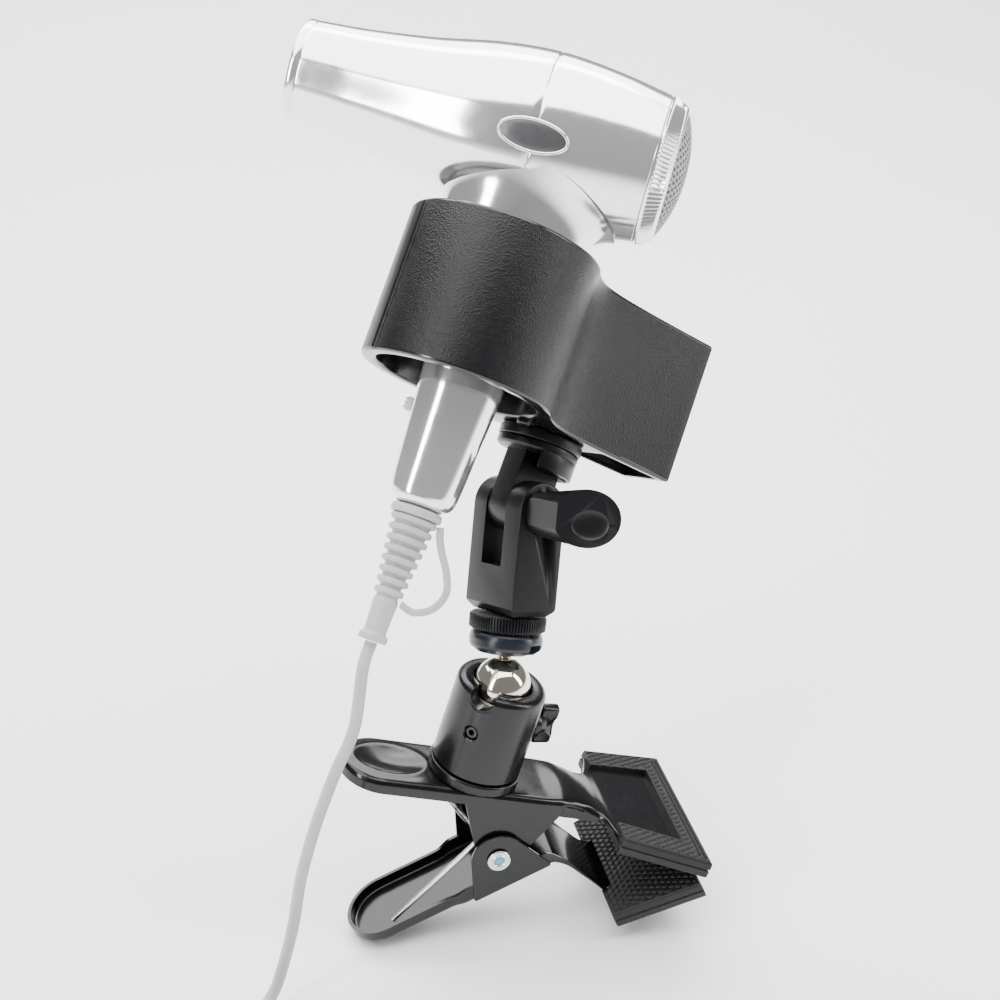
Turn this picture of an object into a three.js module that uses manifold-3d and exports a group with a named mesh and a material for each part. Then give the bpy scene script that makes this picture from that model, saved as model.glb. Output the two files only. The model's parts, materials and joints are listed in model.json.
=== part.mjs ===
// Clamp stand that carries a hand-held pet dryer. Millimetres, +Z up.
// Built in frames: U upper clamp arm, L lower arm, K ball and knuckle, T tilting head,
// M holder ring, H dryer handle, G dryer barrel. The row origin is the middle of the jaw grip.
import * as THREE from 'three';
import { mergeVertices } from 'three/addons/utils/BufferGeometryUtils.js';
import Module from 'manifold-3d';
const wasm = await Module();
wasm.setup();

// ---------- sizes ----------
const ARM = { tilt: 17.3, halfWidth: 18, tip: -79.6, end: 24, top: 32.3, sheet: 1.8, rim: 6.5 };
const LOW = { tilt: -22.6, tip: -78, end: 22, bottom: -17.2, halfMid: 20.7 };
const JAW = { start: 46.8, length: 47, neckHalf: 34, mouthHalf: 42, drop: 4.3, z: 27.3, pad: 7 };
const LOWJAW = { start: 33, length: 48, z: -47 };
const PIVOT = { z: 41.5, rivet: 2.6, head: 5.2, half: 22.6 };
const BALLHEAD = { x: -18, r: 20.5, base: 5, height: 43.1, ball: 13, centre: 78.3, bore: 13.5, side: -130,
  knobSide: 12, knobDrop: 20 };
const STACK = { leanY: 10.6, leanX: -20.9, turn: -70, foot: 14.5, wheel: 25, fork: 33, pivot: 80 };
const FORK = { x0: -17, x1: 18.5, half: 12, slot: 7.3 };
const HEAD = { tilt: -17.2, flange: 18.5, disc: 19, seat: 33.6 };
const RING = { swivel: 87, discX: 58.9, discY: 15.4, r: 41.7, bore: 35.1, h: 66.2, tail: 117 };
const DRYER = { yaw: -36, rake: -2.4, lift: 46.5, shiftX: 2.4, shiftY: 0, seam: 37, nozzle: 22, front: 107.3,
  rear: 49, rearR: 31.8, wall: 2.2, handle: 165.3, handleX: 3 };
const CORD = { r: 2.6, coilX: -122, coilY: -98, coilIn: 28.3, coilOut: 41.5, coilH: 21.4 };

// ---------- small helpers ----------
const rad = (d) => d * Math.PI / 180;
const T = (x, y, z) => new THREE.Matrix4().makeTranslation(x, y, z);
const RX = (d) => new THREE.Matrix4().makeRotationX(rad(d));
const RY = (d) => new THREE.Matrix4().makeRotationY(rad(d));
const RZ = (d) => new THREE.Matrix4().makeRotationZ(rad(d));
const chain = (...m) => m.reduce((a, b) => a.clone().multiply(b), new THREE.Matrix4());
const point = (frame, x, y, z) => new THREE.Vector3(x, y, z).applyMatrix4(frame);
const dir = (frame, x, y, z) => new THREE.Vector3(x, y, z).transformDirection(frame);

function solid(geometry, frame) {
  let g = geometry.clone();
  for (const key of Object.keys(g.attributes)) if (key !== 'position') g.deleteAttribute(key);
  if (frame) g.applyMatrix4(frame);
  g = mergeVertices(g, 1e-4);
  const p = g.attributes.position.array;
  const idx = [];
  let volume = 0;
  const at = (i) => new THREE.Vector3(p[3 * i], p[3 * i + 1], p[3 * i + 2]);
  for (let i = 0; i < g.index.count; i += 3) {
    const [a, b, c] = [g.index.getX(i), g.index.getX(i + 1), g.index.getX(i + 2)];
    if (a === b || b === c || a === c) continue;
    idx.push(a, b, c);
    volume += at(a).dot(at(b).clone().cross(at(c)));
  }
  if (volume < 0) for (let i = 0; i < idx.length; i += 3) [idx[i], idx[i + 1]] = [idx[i + 1], idx[i]];
  return new wasm.Manifold(new wasm.Mesh({
    numProp: 3, vertProperties: new Float32Array(p), triVerts: new Uint32Array(idx) }));
}
function toGeometry(manifold) {
  const m = manifold.getMesh();
  const g = new THREE.BufferGeometry();
  g.setAttribute('position', new THREE.BufferAttribute(new Float32Array(m.vertProperties), 3));
  g.setIndex(new THREE.BufferAttribute(new Uint32Array(m.triVerts), 1));
  g.computeVertexNormals();
  return g;
}
const join = (first, ...rest) => rest.reduce((a, b) => a.add(b), first);
const cut = (first, ...rest) => rest.reduce((a, b) => a.subtract(b), first);
function box(x0, x1, y0, y1, z0, z1, frame) {
  const g = new THREE.BoxGeometry(x1 - x0, y1 - y0, z1 - z0);
  g.translate((x0 + x1) / 2, (y0 + y1) / 2, (z0 + z1) / 2);
  return solid(g, frame);
}
// turned piece about Z from [radius, height] pairs that close on the axis or on themselves
function turned(profile, sides = 28, frame) {
  const g = new THREE.LatheGeometry(profile.map(([r, z]) => new THREE.Vector2(r, z)), sides);
  g.rotateX(Math.PI / 2);
  return solid(g, frame);
}
const rod = (r, z0, z1, sides = 20, frame) => turned([[0, z0], [r, z0], [r, z1], [0, z1]], sides, frame);
const tube = (r0, r1, z0, z1, sides = 28, frame) =>
  turned([[r0, z0], [r1, z0], [r1, z1], [r0, z1], [r0, z0]], sides, frame);
// plate with the XY outline, from z0 to z1
function plate(points, z0, z1, frame) {
  const shape = new THREE.Shape(points.map(([x, y]) => new THREE.Vector2(x, y)));
  const g = new THREE.ExtrudeGeometry(shape, { depth: z1 - z0, bevelEnabled: false });
  g.translate(0, 0, z0);
  return solid(g, frame);
}
// plate with the XZ outline, from y0 to y1
function sidePlate(points, y0, y1, frame) {
  const turn = chain(RX(90));
  const m = frame ? frame.clone().multiply(turn) : turn;
  return plate(points.map(([x, z]) => [x, z]), -y1, -y0, m);
}
const arc = (cx, cy, r, a0, a1, n) => Array.from({ length: n + 1 }, (_, i) => {
  const a = rad(a0 + (a1 - a0) * i / n);
  return [cx + r * Math.cos(a), cy + r * Math.sin(a)];
});
// solid through a stack of [z, halfX, halfY, centreX] ovals
function loft(sections, sides = 24, frame) {
  const verts = [];
  const idx = [];
  for (const [z, a, b, cx = 0] of sections)
    for (let i = 0; i < sides; i++) {
      const t = 2 * Math.PI * i / sides;
      verts.push(cx + a * Math.cos(t), b * Math.sin(t), z);
    }
  for (let s = 0; s + 1 < sections.length; s++)
    for (let i = 0; i < sides; i++) {
      const j = (i + 1) % sides;
      const [a, b, c, d] = [s * sides + i, s * sides + j, (s + 1) * sides + i, (s + 1) * sides + j];
      idx.push(a, b, d, a, d, c);
    }
  const last = (sections.length - 1) * sides;
  for (let i = 1; i + 1 < sides; i++) idx.push(0, i + 1, i, last, last + i, last + i + 1);
  const g = new THREE.BufferGeometry();
  g.setAttribute('position', new THREE.BufferAttribute(new Float32Array(verts), 3));
  g.setIndex(idx);
  return solid(g, frame);
}
function wire(points, r, sides, steps, frame) {
  const path = new THREE.CatmullRomCurve3(points.map((q) => new THREE.Vector3(...q)), false, 'centripetal');
  const shape = new THREE.Shape(Array.from({ length: sides }, (_, i) => new THREE.Vector2(
    r * Math.cos(2 * Math.PI * i / sides), r * Math.sin(2 * Math.PI * i / sides))));
  return solid(new THREE.ExtrudeGeometry(shape, { steps, extrudePath: path, bevelEnabled: false }), frame);
}

// ---------- frames ----------
const U = chain(T(0, 0, PIVOT.z), RY(ARM.tilt));
const L = chain(T(0, 0, PIVOT.z), RY(LOW.tilt));
const BASE = chain(U, T(BALLHEAD.x, 0, 0));
const B = point(BASE, 0, 0, BALLHEAD.centre);
const K = chain(T(B.x, B.y, B.z), RY(STACK.leanY), RX(STACK.leanX), RZ(STACK.turn));
const TILT = chain(K, T(0, 0, STACK.pivot), RX(HEAD.tilt));
const M = chain(TILT, T(0, 0, HEAD.seat), RZ(RING.swivel), T(-RING.discX, -RING.discY, 0));
const H = chain(M, T(DRYER.shiftX, DRYER.shiftY, RING.h + DRYER.lift), RZ(DRYER.yaw));
const G = chain(H, RY(DRYER.rake), T(-DRYER.handleX, 0, 0), RY(90), RZ(180)); // local Z runs to the rear
const GRIP = point(U, JAW.start + JAW.length - 9, 0, JAW.z - JAW.drop - JAW.pad + 0.4);
const ORIGIN = T(-GRIP.x, -GRIP.y, -GRIP.z);
const FLOOR = point(L, LOW.tip, 0, LOW.bottom).z;

// ---------- materials ----------
const mat = (color, roughness, metalness) => new THREE.MeshStandardMaterial({ color, roughness, metalness });
const BLACK_STEEL = mat('#101114', 0.28, 0.4);
const RUBBER = mat('#151515', 0.85, 0);
const ZINC = mat('#b9c0c6', 0.3, 0.9);
const STEEL = mat('#c9ccd0', 0.25, 0.95);
const BRASS = mat('#b08d4a', 0.35, 0.9);
const DARK_PLASTIC = mat('#2a2b2e', 0.6, 0);
const CHROME = mat('#dcdcda', 0.12, 0.9);
const PALE_PLASTIC = mat('#c4c4c4', 0.55, 0);
const GREY_PLASTIC = mat('#8d9094', 0.6, 0);
const MICA = mat('#b8a47a', 0.7, 0);

const group = new THREE.Group();
group.name = 'pet_dryer_stand';
function add(name, manifold, material, frame) {
  const g = toGeometry(manifold);
  g.applyMatrix4(frame ? chain(ORIGIN, frame) : ORIGIN);
  const mesh = new THREE.Mesh(g, material);
  mesh.name = name;
  group.add(mesh);
}

// ---------- clamp ----------
const handleOutline = (inset, tip, end, half) => {
  const h = half - inset;
  return [...arc(tip + half, 0, h, 90, 270, 12), [end, -h], [end, h]];
};
const earOutline = (r, sign, reach, top) => [
  ...arc(0, 0, r, sign > 0 ? 200 : 160, sign > 0 ? 340 : 20, 10), [reach, sign * top], [-reach, sign * top]];
const jawOutline = (inset, x0, length) => [[x0, -JAW.neckHalf + inset], [x0 + length - inset, -JAW.mouthHalf + inset],
  [x0 + length - inset, JAW.mouthHalf - inset], [x0, JAW.neckHalf - inset]];
const pair = (build) => join(build(1), build(-1));
const mirrored = (points, side, y0, y1) => side > 0 ? sidePlate(points, y0, y1) : sidePlate(points, -y1, -y0);
const rivetHole = (r) => rod(r, -30, 30, 20, RX(90));

function upperArm() {
  const s = ARM.sheet;
  const shell = cut(plate(handleOutline(0, ARM.tip, ARM.end, ARM.halfWidth), ARM.top - ARM.rim, ARM.top),
    plate(handleOutline(s, ARM.tip, ARM.end + 20, ARM.halfWidth), ARM.top - ARM.rim - 1, ARM.top - s));
  const ears = pair((k) => mirrored(earOutline(9.5, 1, 24, ARM.top - 1), k, 16.6, ARM.halfWidth));
  const neckTop = sidePlate([[20, ARM.top], [29, ARM.top], [JAW.start + 3, JAW.z], [JAW.start + 3, JAW.z - s],
    [28, ARM.top - s], [20, ARM.top - s]], -16.5, 16.5);
  const neckSides = pair((k) => mirrored([[20, ARM.top], [29, ARM.top], [JAW.start + 3, JAW.z],
    [JAW.start + 3, JAW.z - s - 0.2], [31, ARM.top - 8], [20, ARM.top - 8]], k, 14.9, 16.5));
  const jaw = plate(jawOutline(3.2, 0, JAW.length - 1.5), -s, 0, jawFrame());
  const body = join(shell, ears, neckTop, neckSides, jaw);
  return cut(body, rivetHole(PIVOT.rivet + 0.3), rod(3.4, 20, 40, 20, T(BALLHEAD.x, 0, 0)));
}
function jawFrame() { return chain(T(JAW.start, 0, JAW.z), RY(JAW.drop)); }
// rubber cover of a jaw plate, with the bite on its -Z face; an open window leaves the plate's middle bare
function rubberPad(thickness, frame, notch) {
  const s = ARM.sheet;
  const block = plate(jawOutline(0, 2, JAW.length - 2), -thickness, 1.9, frame);
  const slot = plate([[-1, -JAW.neckHalf + 2.9], [JAW.length - 4.3, -JAW.mouthHalf + 3.1],
    [JAW.length - 4.3, JAW.mouthHalf - 3.1], [-1, JAW.neckHalf - 2.9]], -s - 0.3, 0.3, frame);
  const window = plate([[-1, -JAW.neckHalf + 11], [JAW.length - 13, -JAW.mouthHalf + 13],
    [JAW.length - 13, JAW.mouthHalf - 13], [-1, JAW.neckHalf - 11]], 0, 3, frame);
  const neck = box(-1, 7, -17, 17, -notch, 3, frame);
  return cut(block, slot, window, neck);
}
function lowJawFrame() { return chain(T(LOWJAW.start, 0, LOWJAW.z - JAW.pad), RX(180)); }
function lowerArm() {
  const s = ARM.sheet;
  const shell = cut(plate(handleOutline(0, LOW.tip, LOW.end, ARM.halfWidth), LOW.bottom, LOW.bottom + ARM.rim),
    plate(handleOutline(s, LOW.tip, LOW.end + 20, ARM.halfWidth), LOW.bottom + s, LOW.bottom + ARM.rim + 1));
  const cheeks = pair((k) => mirrored([[-26, LOW.bottom], [24, LOW.bottom], [22, LOW.bottom + 9],
    ...arc(0, 0, 12.5, 20, 160, 12), [-24, LOW.bottom + 8]], k, 18.9, LOW.halfMid));
  const web = box(-24, 22, -19.5, 19.5, LOW.bottom, LOW.bottom + s);
  const notch = box(-23, 23, -18.8, 18.8, LOW.bottom + s, LOW.bottom + 12);
  const neckZ = LOWJAW.z - JAW.pad + s;
  const neck = sidePlate([[18, LOW.bottom + s], [23, LOW.bottom + s], [LOWJAW.start + 6, neckZ],
    [LOWJAW.start + 6, neckZ - s], [21.5, LOW.bottom], [18, LOW.bottom]], -16.5, 16.5);
  const ribs = pair((k) => mirrored([[18, LOW.bottom + 7], [25, LOW.bottom + 5], [LOWJAW.start + 5.6, neckZ],
    [LOWJAW.start + 3, neckZ - s], [21.5, LOW.bottom], [18, LOW.bottom]], k, 14.9, 16.5));
  const jaw = plate(jawOutline(3.2, 0, JAW.length - 1.5), -s, 0, lowJawFrame());
  return cut(join(cut(join(shell, web), notch), cheeks, neck, ribs, jaw), rivetHole(PIVOT.rivet + 0.3));
}
function rivet() {
  const e = PIVOT.half;
  const profile = [[0, -e + 3], [1.9, -e + 3], [1.9, -e], [PIVOT.head, -e], [PIVOT.head, -e + 1.3],
    [PIVOT.rivet, -e + 1.6], [PIVOT.rivet, e - 1.6], [PIVOT.head, e - 1.3], [PIVOT.head, e], [1.9, e],
    [1.9, e - 3], [0, e - 3]];
  return turned(profile, 24, RX(90));
}
function torsionSpring() {
  const coil = 6.6;
  const points = [];
  const upper = point(chain(L.clone().invert(), U), -44, 0, ARM.top - ARM.sheet - 1.4);
  points.push([upper.x, 8.6, upper.z]);
  const a0 = Math.atan2(upper.z, upper.x) - 1.35;
  const turns = 4.62;
  const n = 46;
  for (let i = 0; i <= n; i++) {
    const a = a0 - 2 * Math.PI * turns * i / n;
    points.push([coil * Math.cos(a), 8.6 - 17.2 * i / n, coil * Math.sin(a)]);
  }
  points.push([-30, -9.4, -10.6], [-58, -10, LOW.bottom + ARM.sheet + 1.25]);
  return wire(points, 0.9, 6, 78);
}

// ---------- ball head ----------
function ballHousing() {
  const { r, bore, centre, ball, side } = BALLHEAD;
  const z0 = ARM.top + 0.6 + BALLHEAD.base;
  const z1 = z0 + BALLHEAD.height;
  const body = turned([[0, z0], [r - 0.6, z0], [r, z0 + 0.8], [r, z1 - 2.2], [r - 2.2, z1], [bore + 0.6, z1],
    [bore, z1 - 0.8], [bore, centre - ball - 3.3], [0, centre - ball - 3.3]], 40);
  const notch = join(box(5, 30, -5.8, 5.8, centre - 2.6, z1 + 5), rod(5.8, 5, 30, 20, chain(T(0, 0, centre - 2.6), RY(90))));
  const grub = rod(3.2, 12, 30, 16, chain(T(0, 0, z0 + 23), RY(90)));
  const stem = rod(3.3, 12, 30, 16, chain(T(0, 0, centre - BALLHEAD.knobDrop), RY(90)));
  return cut(body, rod(3.4, z0 - 1, z0 + 14, 20), turnedTo(notch, side), turnedTo(grub, side), turnedTo(stem, BALLHEAD.knobSide));
}
function turnedTo(manifold, degrees) {
  return solid(toGeometry(manifold), RZ(degrees));
}
function grubScrew() {
  const z = ARM.top + 0.6 + BALLHEAD.base + 23;
  const f = chain(RZ(BALLHEAD.side), T(0, 0, z), RY(90));
  return cut(rod(2.9, 13.9, 19.8, 18, f), rod(1.6, 17, 25, 6, f));
}
function baseScrew() {
  const top = ARM.top + 0.6 + BALLHEAD.base + 13;
  const under = ARM.top - ARM.sheet - 0.3;
  return cut(turned([[0, under - 3.4], [5.2, under - 3.4], [5.2, under], [3.05, under], [3.05, top], [0, top]], 20),
    rod(2, under - 4, under - 1.6, 6));
}
function ballSeat() {
  const { bore, centre, ball } = BALLHEAD;
  const z0 = centre - ball - 3;
  const cup = Array.from({ length: 7 }, (_, i) => {
    const q = 11.6 - 11.6 * i / 6;
    return [q, centre - Math.sqrt((ball + 0.3) ** 2 - q * q)];
  });
  return turned([[0, z0], [bore - 0.3, z0], [bore - 0.3, centre - 6.6], ...cup], 28);
}
function lockKnob() {
  const f = chain(RZ(BALLHEAD.knobSide), T(0, 0, BALLHEAD.centre - BALLHEAD.knobDrop), RY(90));
  const wing = plate([[-10.5, -3.4], [10.5, -3.4], [10.5, 3.4], [-10.5, 3.4]], 24.5, 33.5, f);
  return join(turned([[0, 14.2], [3, 14.2], [3, 20.9], [6.6, 20.9], [6.2, 26], [0, 26]], 20, f), wing);
}
function ball() {
  const r = BALLHEAD.ball;
  const flat = Math.sqrt(r * r - 49);
  const profile = [[0, -r], ...Array.from({ length: 12 }, (_, i) => {
    const a = -Math.PI / 2 + (i + 1) * (Math.PI / 2 + Math.asin(flat / r)) / 12;
    return [r * Math.cos(a), r * Math.sin(a)];
  }), [3.3, flat], [3.3, 2], [0, 2]];
  return turned(profile, 28);
}
const ballStud = () => rod(3.05, 2.3, 23.6, 18);

// ---------- shoe and knuckle ----------
function shoeFoot() {
  const { foot, wheel } = STACK;
  const body = turned([[0, foot + 0.4], [12.8, foot + 0.4], [15.6, foot + 2.6], [16.2, foot + 6.5], [15.2, wheel - 0.6],
    [0, wheel - 0.6]], 36);
  const lock = box(10.5, 20, -4, 4, foot - 1, foot + 5.5, RZ(20));
  return cut(body, rod(3.35, foot - 1, 24.1, 18), lock);
}
function shoeWheel() {
  const teeth = 36;
  const outline = Array.from({ length: teeth * 2 }, (_, i) => {
    const r = i % 2 ? 16.4 : 17.1;
    return [r * Math.cos(Math.PI * i / teeth), r * Math.sin(Math.PI * i / teeth)];
  });
  return cut(plate(outline, STACK.wheel, STACK.fork - 0.4), rod(8, STACK.wheel - 1, STACK.fork, 24));
}
function fork() {
  const { x0, x1, half, slot } = FORK;
  const z = STACK.pivot;
  const side = [[-half + 3, STACK.fork], [half - 3, STACK.fork], [half, STACK.fork + 3.5], ...arc(0, z, half, 0, 180, 14),
    [-half, STACK.fork + 3.5]];
  const block = plate(side, x0, x1, chain(RY(90), RZ(90)));
  const gap = box(-slot, slot, -half - 1, half + 1, STACK.fork + 21, z + half + 1);
  const corner = box(-50, 0, -50, 50, -50, 0, chain(T(x0 + 3, 0, STACK.fork), RY(45)));
  const corner2 = box(0, 50, -50, 50, -50, 0, chain(T(x1 - 3, 0, STACK.fork), RY(-45)));
  return join(cut(block, gap, rod(3.35, -30, 30, 18, chain(T(0, 0, z), RY(90))), corner, corner2,
    rod(6, x0 - 1, x0 + 4.2, 6, chain(T(0, 0, z), RY(90)))), rod(7.7, STACK.wheel, STACK.fork + 1, 24));
}
const knobFrame = () => chain(T(0, 0, STACK.pivot), RY(90));
function wingKnob() {
  const x = FORK.x1 + 0.3;
  const body = loft([[x, 7, 7], [x + 6, 6.2, 6.2], [x + 10, 7.5, 6.8], [x + 16, 11, 8], [x + 24, 13.6, 9.8],
    [x + 34, 14.6, 11.4], [x + 38, 13.8, 10.8], [x + 39.4, 12, 9.2]], 22);
  return cut(solid(toGeometry(body), chain(knobFrame(), RZ(70))), rod(3.4, x - 2, x + 12, 16, knobFrame()));
}
function knuckleBolt() {
  return rod(3.05, FORK.x0 + 0.5, FORK.x1 + 12, 16, knobFrame());
}
function knuckleNut() {
  return cut(rod(5.6, FORK.x0 + 0.2, FORK.x0 + 3.9, 6, knobFrame()), rod(3.35, -30, 30, 16, knobFrame()));
}
function tongue() {
  const x = FORK.slot - 0.3;
  const eye = rod(11.5, -x, x, 28, RY(90));
  const stalk = plate([[-8.5, 0], [8.5, 0], [10, 24.5], [-10, 24.5]], -x, x, chain(RY(90), RZ(90)));
  const flange = turned([[0, 22.5], [x, 22.5], [HEAD.flange - 1, 24.2], [HEAD.flange, 25.2], [HEAD.flange, 28], [0, 28]], 36);
  const skirt = plate([...arc(0, 0, 18.3, -5, 75, 8), ...arc(0, 0, 16, 75, -5, 8)], 17, 25);
  return cut(join(eye, stalk, flange, skirt), rod(3.35, -20, 20, 18, RY(90)), rod(3.35, 15, 30, 18));
}
const swivelDisc = () => cut(turned([[0, 28.3], [HEAD.disc, 28.3], [HEAD.disc, HEAD.seat - 1], [HEAD.disc - 0.8, HEAD.seat - 0.3],
  [0, HEAD.seat - 0.3]], 36), rod(3.35, 20, 40, 18));
const holderStud = () => rod(3.05, 15.4, 50, 18);

// ---------- holder ----------
function holderBody() {
  const { r, bore, h, tail, discX, discY } = RING;
  const flare = [[0, -20], ...arc(0, 0, r - 0.05, -40, -32, 2), [39, -19.2], [43.5, -14.6], [50, -11], [60, -8.4],
    [80, -6.6], [100, -6], [tail, -6], [tail, 26], [100, 26.4], [80, 28], [62, 31], [48, 34.2], [34, 37.4],
    ...arc(0, 0, r - 0.05, 62, 70, 2)];
  const outer = join(rod(r, 0, h, 72), plate(flare, 0, h));
  const pocket = plate([[80, -3], [tail - 3.5, -2.5], [tail - 3.5, 22.5], [80, 24.5]], -1, h - 4);
  const groove = (a) => box(r - 0.9, r + 2, -0.5, 0.5, -1, h + 1, RZ(a));
  return cut(outer, rod(bore, -1, h + 1, 64), pocket, groove(178), groove(184), rod(3.35, -1, 18, 18, T(discX, discY, 0)));
}

// ---------- dryer ----------
// outer radius of the barrel against distance from the seam, nozzle side negative
const BARREL = [[-DRYER.front, DRYER.nozzle], [-DRYER.front + 1.2, DRYER.nozzle + 0.8], [-DRYER.front + 5, DRYER.nozzle + 0.9],
  [-81, 24.9], [-54, 28.9], [-28, 34.3], [-12.5, 36.3], [0, DRYER.seam], [12, 36.6], [30, 34.8], [DRYER.rear, DRYER.rearR]];
function barrelPart(from, to) {
  const outer = BARREL.filter(([x]) => x >= from - 1e-6 && x <= to + 1e-6);
  const o = outer.map(([x, r]) => [r, x < 0 || from < 0 ? x : Math.max(x, 0.3)]);
  const inner = [...o].reverse().map(([r, x]) => [r - DRYER.wall, x]);
  return turned([...o, ...inner, o[0]], 40, G);
}
const barrelSolid = (grow) => turned([[0, BARREL[0][0] - grow], ...BARREL.map(([x, r]) => [r + grow, x]),
  [0, DRYER.rear + grow]], 40, G);
const wireWay = () => rod(8, -60, 0, 20, H);
// half sizes of the handle down its length: [height, along the barrel, across it]
const HANDLE = [[-DRYER.handle, 12.2, 11.2], [-DRYER.handle + 2.5, 14, 13], [-120, 17.1, 15], [-80, 20, 16.5],
  [-61, 24.5, 17.5], [-52.5, 28.6, 18.5], [-46.9, 32.4, 19.2], [-44, 35.4, 19.6], [-39, 36, 20.2], [-28, 35.4, 20.6]];
function handleShell() {
  const outer = loft(HANDLE, 28, H);
  const inner = loft(HANDLE.map(([z, a, b], i) => [i ? z : z + 2.4, a - 2.4, b - 2.4]).slice(0).filter((q, i) => i !== 1), 28, H);
  const slot = box(-30, -8, -2.2, 2.2, -132, -119, H);
  const gland = rod(5.4, -DRYER.handle - 2, -DRYER.handle + 6, 20, H);
  return cut(outer, inner, barrelSolid(0.3), slot, gland);
}
function rearCap() {
  const ribs = 36;
  const outline = Array.from({ length: ribs * 2 }, (_, i) => {
    const r = i % 2 ? 30.9 : 31.8;
    return [r * Math.cos(Math.PI * i / ribs), r * Math.sin(Math.PI * i / ribs)];
  });
  return cut(plate(outline, DRYER.rear + 0.3, DRYER.rear + 8.6, G), rod(28, DRYER.rear - 1, DRYER.rear + 12, 36, G));
}
function rearGrille() {
  const z = DRYER.rear + 5;
  const dome = turned([[0, z + 9], [12, z + 8.2], [20, z + 6.3], [27.6, z + 3], [27.6, z], [0, z]], 28, G);
  const hollow = turned([[0, z + 7.6], [12, z + 6.8], [19.5, z + 5], [26, z + 1.6], [26, z - 1], [0, z - 1]], 28, G);
  const slots = [-18, -12, -6, 0, 6, 12, 18].map((c) => {
    const half = Math.sqrt(24 * 24 - c * c);
    return box(c - 1.6, c + 1.6, -half, half, z - 2, z + 12, G);
  });
  return cut(dome, hollow, ...slots);
}
function badge() {
  const cyl = loft([[20, 14, 6], [60, 14, 6]], 28, chain(G, RZ(BADGE_SIDE), RY(90)));
  return cyl.intersect(cut(barrelSolid(1.1), barrelSolid(0.3)));
}
const BADGE_SIDE = 108;
function nozzleGrille() {
  const z = -100;
  const ring = tube(17.6, 20, z, z + 4, 24, G);
  const bars = [0, 60, 120].map((a) => box(-18.4, 18.4, -0.7, 0.7, z + 0.6, z + 3.4, chain(G, RZ(a))));
  const rings = [6, 12].map((r) => tube(r - 0.7, r + 0.7, z + 0.6, z + 3.4, 12, G));
  return join(ring, ...bars, ...rings);
}
function heaterFormer() {
  return join(...[0, 60, 120].map((a) => box(-15.5, 15.5, -0.6, 0.6, -88, -50, chain(G, RZ(a)))));
}
function heaterCoil(index) {
  const z = -84 + index * 11;
  return cut(tube(16, 18, z, z + 3, 24, G));
}
function motorMount() {
  const cup = turned([[15.4, -34], [17.2, -34], [17.2, -4], [15.4, -4], [15.4, -34]], 28, G);
  const rim = tube(29.4, 31, -27, -14, 36, G);
  const vanes = [0, 72, 144, 216, 288].map((a) => box(16.6, 30, -0.8, 0.8, -26, -15, chain(G, RZ(a))));
  return join(cup, rim, ...vanes);
}
const motor = () => join(rod(15, -33, -5, 28, G), rod(2, -6, 13, 14, G));
function fan() {
  const hub = cut(turned([[0, 2], [9, 2], [9, 10], [6, 14.5], [0, 14.5]], 24), rod(2.3, -1, 14.4 - 1, 14));
  const blades = Array.from({ length: 7 }, (_, i) =>
    box(8, 28.5, -0.8, 0.8, -5, 5, chain(RZ(i * 360 / 7), T(0, 0, 6), RX(38))));
  return solid(toGeometry(cut(join(hub, ...blades), turned([[30, -10], [60, -10], [60, 30], [30, 30], [30, -10]], 32))), G);
}
const powerSwitch = () => join(box(-20, -11.8, -1.8, 1.8, -128.4, -122.6, H), box(-12.2, -11, -3.1, 3.1, -129.6, -121.4, H));
function strainRelief() {
  const top = -DRYER.handle - 0.3;
  const profile = [[0, top + 5], [5, top + 5], [5, top], [11, top], [11, top - 3.4]];
  for (let i = 0; i < 8; i++) {
    const z = top - 4.6 - i * 4.4;
    const r = 9.8 - i * 0.5;
    profile.push([r - 1.9, z + 0.6], [r, z], [r, z - 1.9], [r - 1.9, z - 2.5]);
  }
  profile.push([5.2, top - 41.5], [4.7, top - 54], [6.2, top - 54.6], [6.2, top - 57.6], [0, top - 57.6]);
  return turned(profile, 14, H);
}
function hangLoop() {
  // leaves the relief near its top on the rear side and comes back near its foot
  const top = -DRYER.handle;
  return wire([[11.8, 0, top - 7.5], [15, -1, top - 14], [20, -2, top - 22], [22.6, -2, top - 30], [19.5, -1.5, top - 37.5],
    [12.6, -0.5, top - 41.4], [8.6, 0, top - 40]], 1.6, 8, 20, H);
}

// ---------- cord ----------
function cordPoints() {
  const start = point(H, 0, 0, -DRYER.handle - 58.2);
  const out = dir(H, 0, 0, -1);
  const f = FLOOR + CORD.r;
  const entry = [CORD.coilX + 6, CORD.coilY + CORD.coilOut + 0.4 + CORD.r];
  return [[start.x, start.y, start.z], [start.x + out.x * 9, start.y + out.y * 9, start.z + out.z * 9 - 1],
    [-64.5, -35, FLOOR + 137], [-73.7, -38, FLOOR + 118], [-83.6, -40, FLOOR + 93], [-91, -41, FLOOR + 68],
    [-95.5, -42, FLOOR + 45], [-101, -43, FLOOR + 25], [-106, -43.5, FLOOR + 10],
    [-112, -46, f + 1.2],
    [entry[0], entry[1] + 2, f], [entry[0], entry[1] - CORD.r, f]];
}
const cordRun = () => wire(cordPoints(), CORD.r, 10, 40);
const coil = () => turned([[CORD.coilIn, 0], [CORD.coilOut, 0], [CORD.coilOut, CORD.coilH], [CORD.coilIn, CORD.coilH],
  [CORD.coilIn, 0]], 32, T(CORD.coilX, CORD.coilY, FLOOR));
const PLUG = { x: -172.4, y: -87, turn: 255 };
const plugFrame = () => chain(T(PLUG.x, PLUG.y, FLOOR + 8.2), RZ(PLUG.turn), RY(90));
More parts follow.
